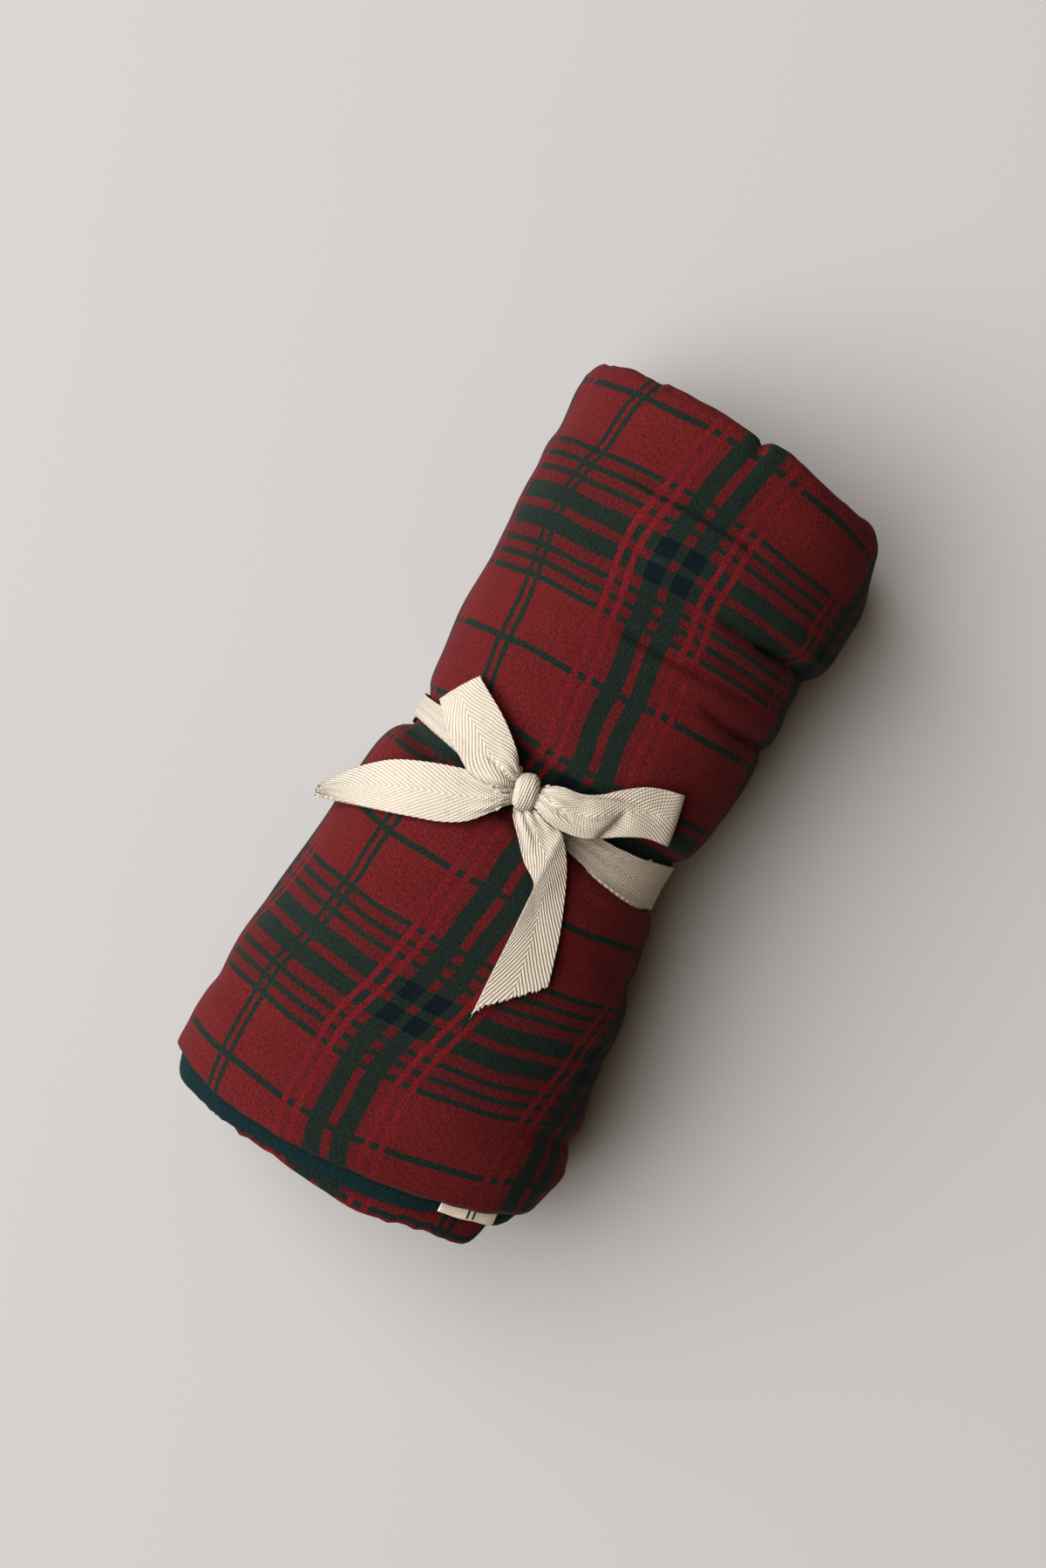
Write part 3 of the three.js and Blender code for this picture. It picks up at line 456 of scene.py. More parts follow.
def clothAlong(points):
    x, y = points[..., 0], points[..., 1]
    leftDrift = throughRows(crossDrift[:, 0], crossDrift[:, 1], y)
    rightDrift = throughRows(crossDrift[:, 0], crossDrift[:, 2], y)
    off = np.where(
        x < 0, leftDrift * np.clip(-x / 48, 0, 1.3) ** 2, rightDrift * np.clip(x / 57, 0, 1.25) ** 1.7,
    )
    wander = 0.35 * np.sin(x / 9.7 + y / 31) + 0.3 * np.sin(x / 23.0 - y / 17 + 1)
    wander = wander + 0.22 * np.sin(x / 4.3 + y / 12)
    pulled = 1.6 * np.exp(-(((x + 2) / 28) ** 2)) * smoothStep(118, 140, y)
    return y - upperGroup - off + pulled + wander


# Materials


# An sRGB hex value as the linear colour a shader takes
def rgb(code):
    parts = [int(code[k : k + 2], 16) / 255 for k in (1, 3, 5)]
    return [c / 12.92 if c <= 0.04045 else ((c + 0.055) / 1.055) ** 2.4 for c in parts] + [1]


# Adds a node with its settings (a plain word is its operation). Its inputs, by name or by
# number (in0, in1), take a value, a socket or a node, whose first output is linked
def add(tree, kind, settings=None, **inputs):
    node = tree.nodes.new("ShaderNode" + kind)
    if isinstance(settings, str):
        settings = {"operation": settings}
    for key, value in (settings or {}).items():
        setattr(node, key, value)
    for key, value in inputs.items():
        numbered = key[:2] == "in" and key[2:].isdigit()
        socket = node.inputs[int(key[2:])] if numbered else node.inputs[key.replace("_", " ")]
        if isinstance(value, bpy.types.Node):
            value = value.outputs[0]
        if isinstance(value, bpy.types.NodeSocket):
            tree.links.new(value, socket)
        else:
            socket.default_value = value
    return node


def newMaterial(name):
    material = bpy.data.materials.new(name)
    material.use_nodes = True
    tree = material.node_tree
    tree.nodes.clear()
    output = tree.nodes.new("ShaderNodeOutputMaterial")
    return material, tree, output


# The quilt's cover is cotton double muslin: a loose plain weave, washed soft, so it crinkles
# and shows each thread. The plaid is printed on it, so its edges follow the threads.
muslin = {
    "thread": 0.62,  # spacing in mm, a little coarser than the real 0.45 so that it shows
    "wobble": 0.35,  # how far a print edge strays, in mm
    "bump": 0.75,  # the share of the heights below that shows
    "threadHeight": 0.09,  # in mm, as the next two
    "slubHeight": 0.24,
    "crinkleHeight": 0.8,
    "maroon": "#672729",
    "red": "#5e2629",
    "brightRed": "#70262c",
    "green": "#28342f",
    "navy": "#16242b",
    "teal": "#1b3336",
    "repeat": 183.2,  # of the plaid along the roll, in mm
    "acrossRepeat": 177.9,  # and round it
}

# middle and half width of each printed line, in mm from the middle of its group
crossLines = [(5.0, 3.35), (14.0, 1.08), (19.6, 1.08), (25.3, 1.08), (50.3, 1.25)]
crossLinesBetween = [(5.0, 3.35), (12.6, 1.08)]
brightLines = [(14.1, 1.2), (19.6, 1.2)]
widePairLine = (5.25, 3.45)
thinPairPlace = 49.2
thinPairLine = (2.0, 1.05)


# 1 where a distance lies on any of the lines, 0 elsewhere
def maskOf(tree, distance, lines):
    total = None
    for middle, half in lines:
        hit = add(tree, "Math", "COMPARE", in0=distance, in1=middle, in2=half)
        total = hit if total is None else add(tree, "Math", "MAXIMUM", in0=total, in1=hit)
    return total


# Threads both ways, slubs and crinkle, as one height in mm
def clothBump(tree, coords):
    thread = 1000 / muslin["thread"]
    parts = add(tree, "SeparateXYZ", None, in0=coords)
    waves = []
    for socket in (parts.outputs[0], parts.outputs[1]):
        turned = add(tree, "Math", "MULTIPLY", in0=socket, in1=thread * math.pi)
        waves.append(add(tree, "Math", "SINE", in0=turned))
    crossed = add(tree, "Math", "MULTIPLY", in0=waves[0], in1=waves[1])
    slubs = add(tree, "TexNoise", None, Vector=coords, Scale=900, Detail=2, Roughness=0.6)
    drawn = add(tree, "VectorMath", "MULTIPLY", in0=coords, in1=(1, 0.4, 1))
    crinkle = add(tree, "TexNoise", None, Vector=drawn, Scale=230, Detail=3, Roughness=0.55)
    height = add(tree, "Math", "MULTIPLY", in0=crossed, in1=muslin["threadHeight"])
    height = add(tree, "Math", "MULTIPLY_ADD", in0=slubs, in1=muslin["slubHeight"], in2=height)
    height = add(tree, "Math", "MULTIPLY_ADD", in0=crinkle, in1=muslin["crinkleHeight"], in2=height)
    bump = add(tree, "Bump", None, Strength=muslin["bump"], Distance=mm, Height=height)
    return bump, slubs, crossed


def plaidColour(tree, uv):
    threads = add(tree, "TexNoise", None, Vector=uv, Scale=1500, Detail=1)
    stray = add(tree, "VectorMath", "SUBTRACT", in0=threads.outputs[1], in1=(0.5, 0.5, 0.5))
    stray = add(tree, "VectorMath", "SCALE", in0=stray, Scale=muslin["wobble"] * 3)
    inMm = add(tree, "VectorMath", "SCALE", in0=uv, Scale=1000)
    place = add(tree, "VectorMath", "ADD", in0=inMm, in1=stray)
    parts = add(tree, "SeparateXYZ", None, in0=place)
    along, across = parts.outputs[0], parts.outputs[1]
    half = muslin["repeat"] / 2
    fromGroup = add(tree, "Math", "PINGPONG", in0=along, in1=half)
    fromBetween = add(tree, "Math", "SUBTRACT", in0=half, in1=fromGroup)
    shifted = add(tree, "Math", "ADD", in0=across, in1=thinPairPlace)
    fromThin = add(tree, "Math", "PINGPONG", in0=shifted, in1=muslin["acrossRepeat"] / 2)
    fromWide = add(tree, "Math", "SUBTRACT", in0=fromThin, in1=thinPairPlace)
    fromWide = add(tree, "Math", "ABSOLUTE", in0=fromWide)
    crossGreen = maskOf(tree, fromGroup, crossLines)
    crossOther = maskOf(tree, fromBetween, crossLinesBetween)
    crossGreen = add(tree, "Math", "MAXIMUM", in0=crossGreen, in1=crossOther)
    crossWide = maskOf(tree, fromGroup, crossLines[:1])
    crossWideOther = maskOf(tree, fromBetween, crossLinesBetween[:1])
    crossWide = add(tree, "Math", "MAXIMUM", in0=crossWide, in1=crossWideOther)
    bright = maskOf(tree, fromWide, brightLines)
    notBright = add(tree, "Math", "SUBTRACT", in0=1.0, in1=bright)
    crossGreen = add(tree, "Math", "MULTIPLY", in0=crossGreen, in1=notBright)
    wide = maskOf(tree, fromWide, [widePairLine])
    thin = maskOf(tree, fromThin, [thinPairLine])
    green = add(tree, "Math", "MAXIMUM", in0=crossGreen, in1=wide)
    green = add(tree, "Math", "MAXIMUM", in0=green, in1=thin)
    navy = add(tree, "Math", "MULTIPLY", in0=crossWide, in1=wide)
    # inside the line groups the ground is a shade deeper
    flank = maskOf(tree, fromWide, [(10.8, 10.8)])
    flank = add(tree, "Math", "MULTIPLY", in0=flank, in1=0.4)
    groupZone = maskOf(tree, fromGroup, [(12.6, 13.6)])
    betweenZone = maskOf(tree, fromBetween, [(6.0, 6.8)])
    zone = add(tree, "Math", "MAXIMUM", in0=groupZone, in1=betweenZone)
    zone = add(tree, "Math", "MAXIMUM", in0=zone, in1=flank)
    brightMix = add(tree, "MapRange", None, in0=zone, in1=0.4, in2=1.0, in3=0.85, in4=1.0)
    brightMix = add(tree, "Math", "MULTIPLY", in0=brightMix, in1=bright)
    colour = rgb(muslin["maroon"])
    for share, dye in ((zone, "red"), (brightMix, "brightRed"), (green, "green"), (navy, "navy")):
        mix = add(tree, "Mix", {"data_type": "RGBA"}, in0=share, in6=colour, in7=rgb(muslin[dye]))
        colour = mix.outputs[2]
    return colour


def muslinMaterial(name, plaid):
    material, tree, output = newMaterial(name)
    uv = add(tree, "UVMap", {"uv_map": "cloth"})
    normal, slubs, crossed = clothBump(tree, uv)
    if plaid:
        colour = plaidColour(tree, uv)
    else:
        colour = add(tree, "RGB").outputs[0]
        colour.default_value = rgb(muslin["teal"])
    # the colour is scaled by the slub noise that also raises the bump, and mottled in broad patches; the
    # weave term is painted shade and highlight of the threads
    mottle = add(tree, "TexNoise", None, Vector=uv, Scale=28, Detail=2)
    depth = add(tree, "MapRange", None, in0=slubs, in1=0.3, in2=0.7, in3=0.7, in4=1.3)
    patch = add(tree, "MapRange", None, in0=mottle, in1=0.3, in2=0.7, in3=0.93, in4=1.07)
    depth = add(tree, "Math", "MULTIPLY", in0=depth, in1=patch)
    # painted shade and highlight of the thread relief: darker where the threads dip, lighter where they
    # rise
    weaveShade = add(tree, "MapRange", None, in0=crossed, in1=-1.0, in2=1.0, in3=0.8, in4=1.16)
    depth = add(tree, "Math", "MULTIPLY", in0=depth, in1=weaveShade)
    colour = add(tree, "VectorMath", "SCALE", in0=colour, Scale=depth)
    shader = add(
        tree, "BsdfPrincipled", None, Base_Color=colour, Roughness=0.9, Normal=normal,
        Specular_IOR_Level=0.2, Sheen_Weight=0.06, Sheen_Roughness=0.5,
    )
    tree.links.new(shader.outputs[0], output.inputs[0])
    return material


plaidMuslin = muslinMaterial("printedPlaidMuslin", True)
tealMuslin = muslinMaterial("dyedTealMuslin", False)

# The tie is natural cotton herringbone tape: twill ribs that turn back at the middle,
# so it looks like a flattened spine of small ridges, cream with the odd darker fleck, and painted shade in
# the valleys between the ribs.
tape = {
    "width": 19,
    "thickness": 1.1,
    "ribSpacing": 1.15,
    "ribLean": 2.14,  # run along the tape for one across: ribs lie about 25 degrees off its length
    "threadSpacing": 0.9,
    "ribHeight": 0.2,
    "threadHeight": 0.07,
    "fuzzHeight": 0.12,
    "bump": 0.72,
    "valleyShade": 0.56,  # how much painted shade lies between the ribs
    "cream": "#cdc9c0",
    # the brown of the painted shade between the ribs, and of the real darker flecks
    "ribShadowAndFleck": "#a58c68",
}


def tapeMaterial():
    material, tree, output = newMaterial("naturalHerringboneTape")
    uv = add(tree, "UVMap", {"uv_map": "cloth"})
    parts = add(tree, "SeparateXYZ", None, in0=uv)
    along, across = parts.outputs[0], parts.outputs[1]
    folded = add(tree, "Math", "ABSOLUTE", in0=across)
    lean = add(tree, "Math", "MULTIPLY", in0=folded, in1=tape["ribLean"])
    diagonal = add(tree, "Math", "ADD", in0=along, in1=lean)
    ribCount = 2 * math.pi * 1000 / tape["ribSpacing"] / math.hypot(1, tape["ribLean"])
    ribs = add(tree, "Math", "MULTIPLY", in0=diagonal, in1=ribCount)
    ribs = add(tree, "Math", "SINE", in0=ribs)
    threads = add(tree, "Math", "MULTIPLY", in0=along, in1=2 * math.pi * 1000 / tape["threadSpacing"])
    threads = add(tree, "Math", "SINE", in0=threads)
    fuzz = add(tree, "TexNoise", None, Vector=uv, Scale=1400, Detail=2)
    flecks = add(tree, "TexNoise", None, Vector=uv, Scale=420, Detail=1)
    height = add(tree, "Math", "MULTIPLY", in0=ribs, in1=tape["ribHeight"])
    height = add(tree, "Math", "MULTIPLY_ADD", in0=threads, in1=tape["threadHeight"], in2=height)
    height = add(tree, "Math", "MULTIPLY_ADD", in0=fuzz, in1=tape["fuzzHeight"], in2=height)
    bump = add(tree, "Bump", None, Strength=tape["bump"], Distance=mm, Height=height)
    # painted shade: the valleys between the ribs are darkened in colour, following the rib waves of the
    # bump
    paintedRibShadow = add(tree, "MapRange", None, in0=ribs, in1=-1.0, in2=-0.1, in3=tape["valleyShade"], in4=0.0)
    colour = add(
        tree, "Mix", {"data_type": "RGBA"}, in0=paintedRibShadow, in6=rgb(tape["cream"]), in7=rgb(tape["ribShadowAndFleck"]),
    ).outputs[2]
    fleck = add(tree, "MapRange", None, in0=flecks, in1=0.62, in2=0.74, in3=0.0, in4=0.25)
    colour = add(
        tree, "Mix", {"data_type": "RGBA"}, in0=fleck, in6=colour, in7=rgb(tape["ribShadowAndFleck"]),
    ).outputs[2]
    shader = add(
        tree, "BsdfPrincipled", None, Base_Color=colour, Roughness=0.85, Normal=bump,
        Specular_IOR_Level=0.2, Sheen_Weight=0.15,
    )
    tree.links.new(shader.outputs[0], output.inputs[0])
    return material


cottonTape = tapeMaterial()

# The label is a fine polyester ribbon, flat and faintly glossy, with two short woven bars
label = {"cream": "#e0dacd", "bar": "#2c2a28", "barPlaces": (10.5, 13.1), "barHalf": 0.42, "barEnd": -2.7}


def ribbonMaterial():
    material, tree, output = newMaterial("wovenLabelRibbon")
    uv = add(tree, "UVMap", {"uv_map": "cloth"})
    inMm = add(tree, "VectorMath", "SCALE", in0=uv, Scale=1000)
    parts = add(tree, "SeparateXYZ", None, in0=inMm)
    along, across = parts.outputs[0], parts.outputs[1]
    bars = maskOf(tree, along, [(place, label["barHalf"]) for place in label["barPlaces"]])
    clear = add(tree, "Math", "GREATER_THAN", in0=across, in1=label["barEnd"])
    bars = add(tree, "Math", "MULTIPLY", in0=bars, in1=clear)
    fine = add(tree, "TexNoise", None, Vector=uv, Scale=2400, Detail=1)
    bump = add(tree, "Bump", None, Strength=0.2, Distance=0.0004, Height=fine)
    colour = add(
        tree, "Mix", {"data_type": "RGBA"}, in0=bars, in6=rgb(label["cream"]), in7=rgb(label["bar"]),
    ).outputs[2]
    shader = add(
        tree, "BsdfPrincipled", None, Base_Color=colour, Roughness=0.6, Normal=bump,
        Specular_IOR_Level=0.35,
    )
    tree.links.new(shader.outputs[0], output.inputs[0])
    return material


labelRibbon = ribbonMaterial()
print("materials ready")

# The outer cloth: hem at the open end, once round the roll, and over the fold at the far end
outerCloth = {
    "topCount": 182,  # points round the part that shows
    "underCount": 46,
    "alongStep": 2.0,
    "creaseStep": 0.75,
    "firstPlace": -148.4,
    "lastPlace": 146.2,
    "topTurns": 0.66,  # the share of a turn that shows from above
    "allTurns": 1.035,  # the cloth laps its own edge a little
    "foldReach": 4.6,  # how far the rounded fold at the far end stands out
    "deepRows": (8, 12, 17),  # how far the cloth goes on inside the fold
    # where the creases need the finer step
    "creases": [(110.5, 116.5), (81, 90), (61.5, 69), (51, 58.5), (14, 22)],
}


# Steps over a rounded fold: how far back from the crest, and the share of the turn
def foldProfile(reach, count):
    angles = np.linspace(0, math.pi, count)
    back = reach * (1 - np.sin(angles))
    level = (1 - np.cos(angles)) / 2
    return back, level


foldBack, foldLevel = foldProfile(outerCloth["foldReach"], 13)


def makeOuterCloth():
    shown = np.linspace(0.0, outerCloth["topTurns"], outerCloth["topCount"])
    under = np.linspace(outerCloth["topTurns"], outerCloth["allTurns"], outerCloth["underCount"])
    turns = np.concatenate([shown, under[1:]])
    places = [outerCloth["firstPlace"]]
    while places[-1] < outerCloth["lastPlace"]:
        fine = any(low < places[-1] < high for low, high in outerCloth["creases"])
        places.append(places[-1] + (outerCloth["creaseStep"] if fine else outerCloth["alongStep"]))
    places = np.array(places)
    rows = []
    for along in places:
        point = rollPoint(along, turns, 0.0)
        openPull = smoothStep(-100, -148.6, point[:, 1]) ** 2
        foldPull = smoothStep(100, 147, point[:, 1]) ** 2
        x = point[:, 0]
        hemWave = 0.16 * np.sin(x / 2.1 + np.sin(x / 9)) + 0.14 * np.sin(x / 5.7)
        point[:, 1] += openPull * (openLine(x) - rollForm["openHem"] - 0.6) + openPull**4 * hemWave
        point[:, 1] += foldPull * (foldLine(x) - rollForm["foldCrest"])
        rows.append(point)
    for distance, share in zip(foldBack[1:], foldLevel[1:]):
        point = rollPoint(sectionTable[-1, 0], turns, share * 0.97)
        point[:, 1] = foldLine(point[:, 0]) - distance - setback(turns, 1) + foldCrinkle(turns)
        rows.append(point)
    for depth in outerCloth["deepRows"]:
        point = rollPoint(sectionTable[-1, 0], turns, 0.97)
        point[:, 1] = foldLine(point[:, 0]) - depth - setback(turns, 1)
        rows.append(point)
    grid = np.array(rows)
    across = clothAcross(grid[: len(places)])
    tail = np.repeat(across[-1:], len(rows) - len(places), axis=0)
    across = np.concatenate([across, tail])
    along = clothAlong(grid)
    run = np.linalg.norm(np.diff(grid[len(places) - 1 :], axis=0), axis=-1).mean(1)
    along[len(places) :] = along[len(places) - 1] + np.cumsum(run)[:, None]
    uvs = np.stack([along, across], axis=-1) * mm
    piece = slabPiece(
        "outerCloth", grid, uvs, rollForm["clothThickness"], [plaidMuslin, tealMuslin], facing=1,
        innerSlot=1,
    )
    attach(piece, "root")
    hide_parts("quilt_roll")
    return across[0]


# The fold's edge is wavy where the stitching draws it in
def foldCrinkle(turns):
    around = turns * 380
    return 0.5 * np.sin(around / 4.7 + np.sin(around / 17)) + 0.4 * np.sin(around / 11.0 + 2)


hemAcross = makeOuterCloth()
print("outer cloth ready")

# The inner turns, seen at both ends: hems, the teal sheet's rim and the folded edges
innerTurns = {"perTurn": 110, "depth": 24}


# Cloth along the spiral at one end. profile has rows of level, distance back, and how wavy
def spiralStrip(
    name, fromTurn, toTurn, profile, end, thickness, materials, innerSlot=None, plaidShift=0.0,
    plaidStart=None, layer=0,
):
    steps = int((toTurn - fromTurn) * innerTurns["perTurn"])
    turns = np.linspace(fromTurn, toTurn, steps)
    lastRow = sectionTable[0, 0] if end == 0 else sectionTable[-1, 0]
    rows = []
    for level, back, rim in profile:
        point = rollPoint(lastRow, turns, level)
        wave = waviness(turns, layer) * rim
        if end == 0:
            inward = 1 - 0.35 * smoothStep(0.9, 1.6, turns)
            out = rimReach(point[:, 0], layer) * inward
            point[:, 1] = openLine(point[:, 0]) - out + back + setback(turns, 0) + wave
        else:
            point[:, 1] = foldLine(point[:, 0]) - back - setback(turns, 1) + wave
        rows.append(point)
    grid = np.array(rows)
    stepLengths = np.linalg.norm(np.diff(grid[..., [0, 2]].mean(0), axis=0), axis=-1)
    around = -np.concatenate([[0], np.cumsum(stepLengths)]) + hemAcross[0] + plaidShift
    runs = np.linalg.norm(np.diff(grid, axis=0), axis=-1).mean(1)
    along = np.concatenate([[0], np.cumsum(runs)]) + (
        grid[0, :, 1].mean() - upperGroup if plaidStart is None else plaidStart
    )
    uvs = np.stack(np.broadcast_arrays(along[:, None], around[None, :]), axis=-1) * mm
    piece = slabPiece(name, grid, uvs, thickness, materials, facing=1, innerSlot=innerSlot)
    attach(piece, "root")
    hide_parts("quilt_roll")


# Edges are never straight: the seam draws the cloth in every few millimetres
def waviness(turns, layer):
    around = turns * 380
    small = np.sin(around / 1.35 + 1.3 * np.sin(around / 7.1)) * (0.5 + 0.5 * np.sin(around / 9.3 + layer))
    small = (0, 0.22, 0.6)[layer] * small
    return small + 0.3 * np.sin(around / 5.1 + layer * 2) + 0.35 * np.sin(around / 12.7 + layer)


deep = innerTurns["depth"]
# rows: level, distance back from the layer's own edge, how wavy
hemProfile = [(0.03, 0.0, 0.4), (0.0, 0.8, 0.4), (0.0, 3, 0.0), (0.0, 8, 0.0), (0.0, deep, 0.0)]
tealProfile = [(0.50, 9.0, 0.3), (0.48, 4.0, 0.6), (0.455, 1.4, 1.0), (0.42, 0.4, 1.0), (0.38, 0.0, 1.0)]
tealProfile += [
    (0.33, 0.25, 1.0), (0.29, 1.0, 1.0), (0.26, 2.3, 1.0), (0.245, 4.2, 0.6), (0.245, 8.0, 0.3),
    (0.25, deep, 0.0),
]
foldProfileRows = [
    (0.97, deep + 6, 0.0), (0.97, 12.0, 0.3), (0.96, 5.0, 1.0), (0.93, 2.2, 1.0), (0.87, 0.6, 1.0),
    (0.79, 0.0, 1.0),
]
foldProfileRows += [
    (0.70, 0.1, 1.0), (0.62, 0.9, 1.0), (0.565, 2.4, 1.0), (0.54, 5.0, 1.0), (0.535, 10.0, 0.3),
    (0.54, deep + 6, 0.0),
]

spiralStrip("innerHems", 1.0, 5.45, hemProfile, 0, 1.9, [plaidMuslin, tealMuslin], innerSlot=1)
spiralStrip("tealSheet", 0.0, 5.45, tealProfile, 0, 1.2, [tealMuslin, plaidMuslin], innerSlot=1, layer=1)
spiralStrip(
    "openFolds", 0.0, 5.4, foldProfileRows, 0, 1.5, [plaidMuslin, tealMuslin], innerSlot=1, plaidShift=62,
    plaidStart=16, layer=2,
)

farProfile = [(0.03, 20, 0.0), (0.03, 9, 0.0)]
farProfile += [(0.03 + 0.94 * level, back, 1.0) for back, level in zip(foldBack, foldLevel)]
farProfile += [(0.97, 9, 0.0), (0.97, 20, 0.0)]
spiralStrip(
    "innerFolds", 1.0, 5.45, farProfile, 1, 1.9, [plaidMuslin, tealMuslin], innerSlot=1, plaidShift=20,
)
print("inner turns ready")

# The tie: each arm is a flat tape between its two edges, from the knot outwards.
# Rows: left edge x, y, height above the roll; right edge x, y, height
leftLoopRows = [
    (-1.8, -1.6, -2.8, -1.8, 1.8, -2.8),
    (-4.6, -2.6, -1.2, -4.6, 3.8, -1.2),
    (-7.6, -3.9, 1.8, -6.6, 6.9, 1.6),
    (-11.0, -4.9, 3.4, -9.4, 10.3, 3.0),
    (-20.0, -4.8, 4.0, -14.6, 15.0, 3.2),
    (-27.8, -0.4, 4.2, -20.9, 19.6, 3.4),
    (-34.2, 3.8, 4.4, -27.6, 23.5, 3.8),
    (-41.6, 11.8, 4.8, -32.8, 26.6, 4.0),
    (-42.6, 13.0, 3.4, -33.6, 27.3, 2.8),
    (-41.2, 12.6, 2.0, -32.6, 26.2, 1.5),
    (-33.4, 6.4, 1.8, -26.6, 22.0, 1.4),
    (-26.6, 2.4, 1.7, -19.6, 17.4, 1.4),
    (-18.6, -0.6, 1.6, -13.2, 12.4, 1.2),
    (-11.0, -0.8, 1.0, -8.6, 7.2, 0.8),
    (-6.2, -0.6, -1.4, -5.8, 4.0, -1.4),
    (-1.8, -0.4, -3.8, -1.8, 2.0, -3.8),
]
leftTailRows = [
    (-0.4, -5.4, -4.4, -1.8, -1.4, -4.0),
    (-3.2, -8.4, -1.4, -5.6, -2.2, -0.8),
    (-6.4, -13.2, 1.4, -9.8, -3.4, 1.0),
    (-12.5, -20.4, 2.2, -17.4, -3.4, 1.6),
    (-20.5, -25.2, 2.2, -26.4, -5.7, 2.0),
    (-30.0, -28.6, 2.4, -36.6, -9.4, 2.6),
    (-38.5, -31.5, 2.8, -46.3, -14.0, 3.4),
    (-46.4, -34.0, 3.8, -53.6, -19.6, 4.6),
    (-54.0, -36.4, 6.6, -60.6, -26.6, -0.6),
    (-61.0, -38.4, 8.6, -65.0, -33.0, -6.0),
    (-64.6, -39.4, 8.2, -67.2, -36.4, -8.4),
]
rightLoopRows = [
    (3.6, -2.4, -2.8, 3.6, 1.0, -2.8),
    (6.2, -3.8, -0.8, 6.2, 3.0, -0.8),
    (8.8, -5.2, 2.8, 8.2, 5.6, 2.6),
    (12.6, -6.5, 4.6, 12.0, 7.1, 4.2),
    (17.0, -7.0, 5.0, 17.8, 8.0, 4.4),
    (25.4, -5.8, 5.2, 24.0, 10.8, 4.6),
    (32.4, -2.3, 5.2, 29.8, 16.0, 4.8),
    (38.4, 1.6, 5.4, 37.0, 21.3, 5.0),
    (46.2, 5.5, 6.0, 43.8, 24.1, 5.2),
    (53.4, 6.6, 7.2, 49.8, 25.5, 5.6),
    (54.6, 6.8, 5.8, 50.8, 25.8, 4.2),
    (53.2, 7.2, 4.4, 49.4, 24.8, 2.8),
    (45.6, 7.0, 3.6, 43.0, 22.6, 2.4),
    (37.6, 4.2, 3.2, 36.0, 19.0, 2.2),
    (30.8, 0.8, 3.0, 29.0, 13.6, 2.2),
    (24.4, -3.0, 3.0, 23.0, 9.2, 2.2),
    (17.0, -4.4, 3.0, 17.0, 6.2, 2.2),
    (10.6, -3.6, 2.2, 10.2, 4.2, 1.8),
    (7.2, -2.4, -0.8, 7.2, 2.4, -0.8),
    (3.6, -1.6, -3.8, 3.6, 1.0, -3.8),
]
downTailRows = [
    (1.2, -5.6, -8.4, 5.4, -3.2, -7.6),
    (0.2, -9.4, -4.4, 7.6, -4.8, -3.4),
    (2.2, -12.4, 0.4, 10.8, -5.4, 0.4),
    (6.2, -16.6, 1.6, 14.4, -6.0, 1.3),
    (12.0, -22.8, 2.4, 17.2, -6.8, 1.9),
    (19.4, -28.4, 3.6, 18.8, -7.6, 2.6),
    (20.1, -32.8, 3.4, 21.8, -10.6, 2.0),
    (20.5, -38.2, 3.0, 25.6, -15.8, 1.8),
    (20.9, -44.6, 2.6, 29.4, -23.0, 1.8),
    (21.2, -52.0, 2.3, 33.2, -31.6, 1.9),
    (21.5, -60.0, 2.1, 36.8, -41.0, 2.1),
    (21.9, -68.6, 2.1, 39.4, -49.6, 2.4),
    (22.4, -77.2, 2.2, 41.8, -58.0, 2.8),
]
# dents (minus for a raised fold) in the arms, as rows of: from x, y, to x, y, depth, half width to
# the left of that line, half width to its right
leftLoopDents = [
    (-16.5, 3.0, -4.6, 0.6, 1.3, 0.6, 0.9),
    (-11.5, -4.4, -6.4, -6.2, 1.2, 0.5, 0.5),
    (-14, -2.4, -5, -2.0, -0.8, 1.2, 1.2),
    (-15, 9, -6, 4.2, -0.5, 1.6, 1.6),
    (-40, 10, -20, 1.0, 0.3, 3.0, 2.0),
]
leftTailDents = [
    (-22, -8, -7, -6.0, 0.5, 1.0, 1.4), (-13, -16, -5, -10.0, -0.5, 1.4, 1.4),
    (-50, -25, -28, -15.5, 0.35, 2.6, 2.6),
]
rightLoopDents = [
    (18.8, 6.6, 25.7, 10.3, 0.9, 0.9, 1.6),
    (25.7, 10.3, 31.6, 12.9, 1.5, 0.8, 2.2),
    (31.6, 12.9, 38.5, 14.3, 2.0, 0.8, 2.6),
    (38.5, 14.3, 45.0, 14.7, 1.2, 0.9, 2.4),
    (30.8, -3.4, 34.6, 8.4, 3.2, 0.8, 4.2),
    (24, 2.5, 30.5, 6.5, -1.0, 3.4, 3.4),
    (7.8, 0.9, 17.2, -1.2, 1.4, 0.6, 0.6),
    (12.6, -2.4, 23.5, -2.2, 0.5, 0.7, 0.7),
    (8.3, 3.4, 14.5, 5.2, 0.5, 0.7, 0.7),
]
downTailDents = [
    (8, -9.0, 17.6, -15.5, 0.35, 1.2, 1.2), (4.5, -11.5, 11, -15.0, -0.35, 1.2, 1.2),
    (20.4, -30, 33, -50, 0.25, 3.0, 3.0),
]
armForm = {"alongStep": 0.55, "acrossCount": 54, "pleats": 3.5, "pleatDepth": 0.9}
restReach = 24  # the waist groove's half length, which the arms bridge


# The roll's crown without its waist groove, on which the tape's arms lie
def restHeight(x, y):
    low, high = np.minimum(y, -restReach), np.maximum(y, restReach)
    share = np.clip((y + restReach) / (2 * restReach), 0, 1)
    left, right, top = (
        throughRows(sectionTable[:, 0], sectionTable[:, k], low) * (1 - share)
        + throughRows(sectionTable[:, 0], sectionTable[:, k], high) * share
        for k in (1, 2, 3)
    )
    aside = np.minimum(0.96, np.abs(x - (left + right) / 2) / ((right - left) / 2))
    power = rollForm["roundness"]
    return rollForm["axisHeight"] + (top - rollForm["axisHeight"]) * (1 - aside**power) ** (1 / power)


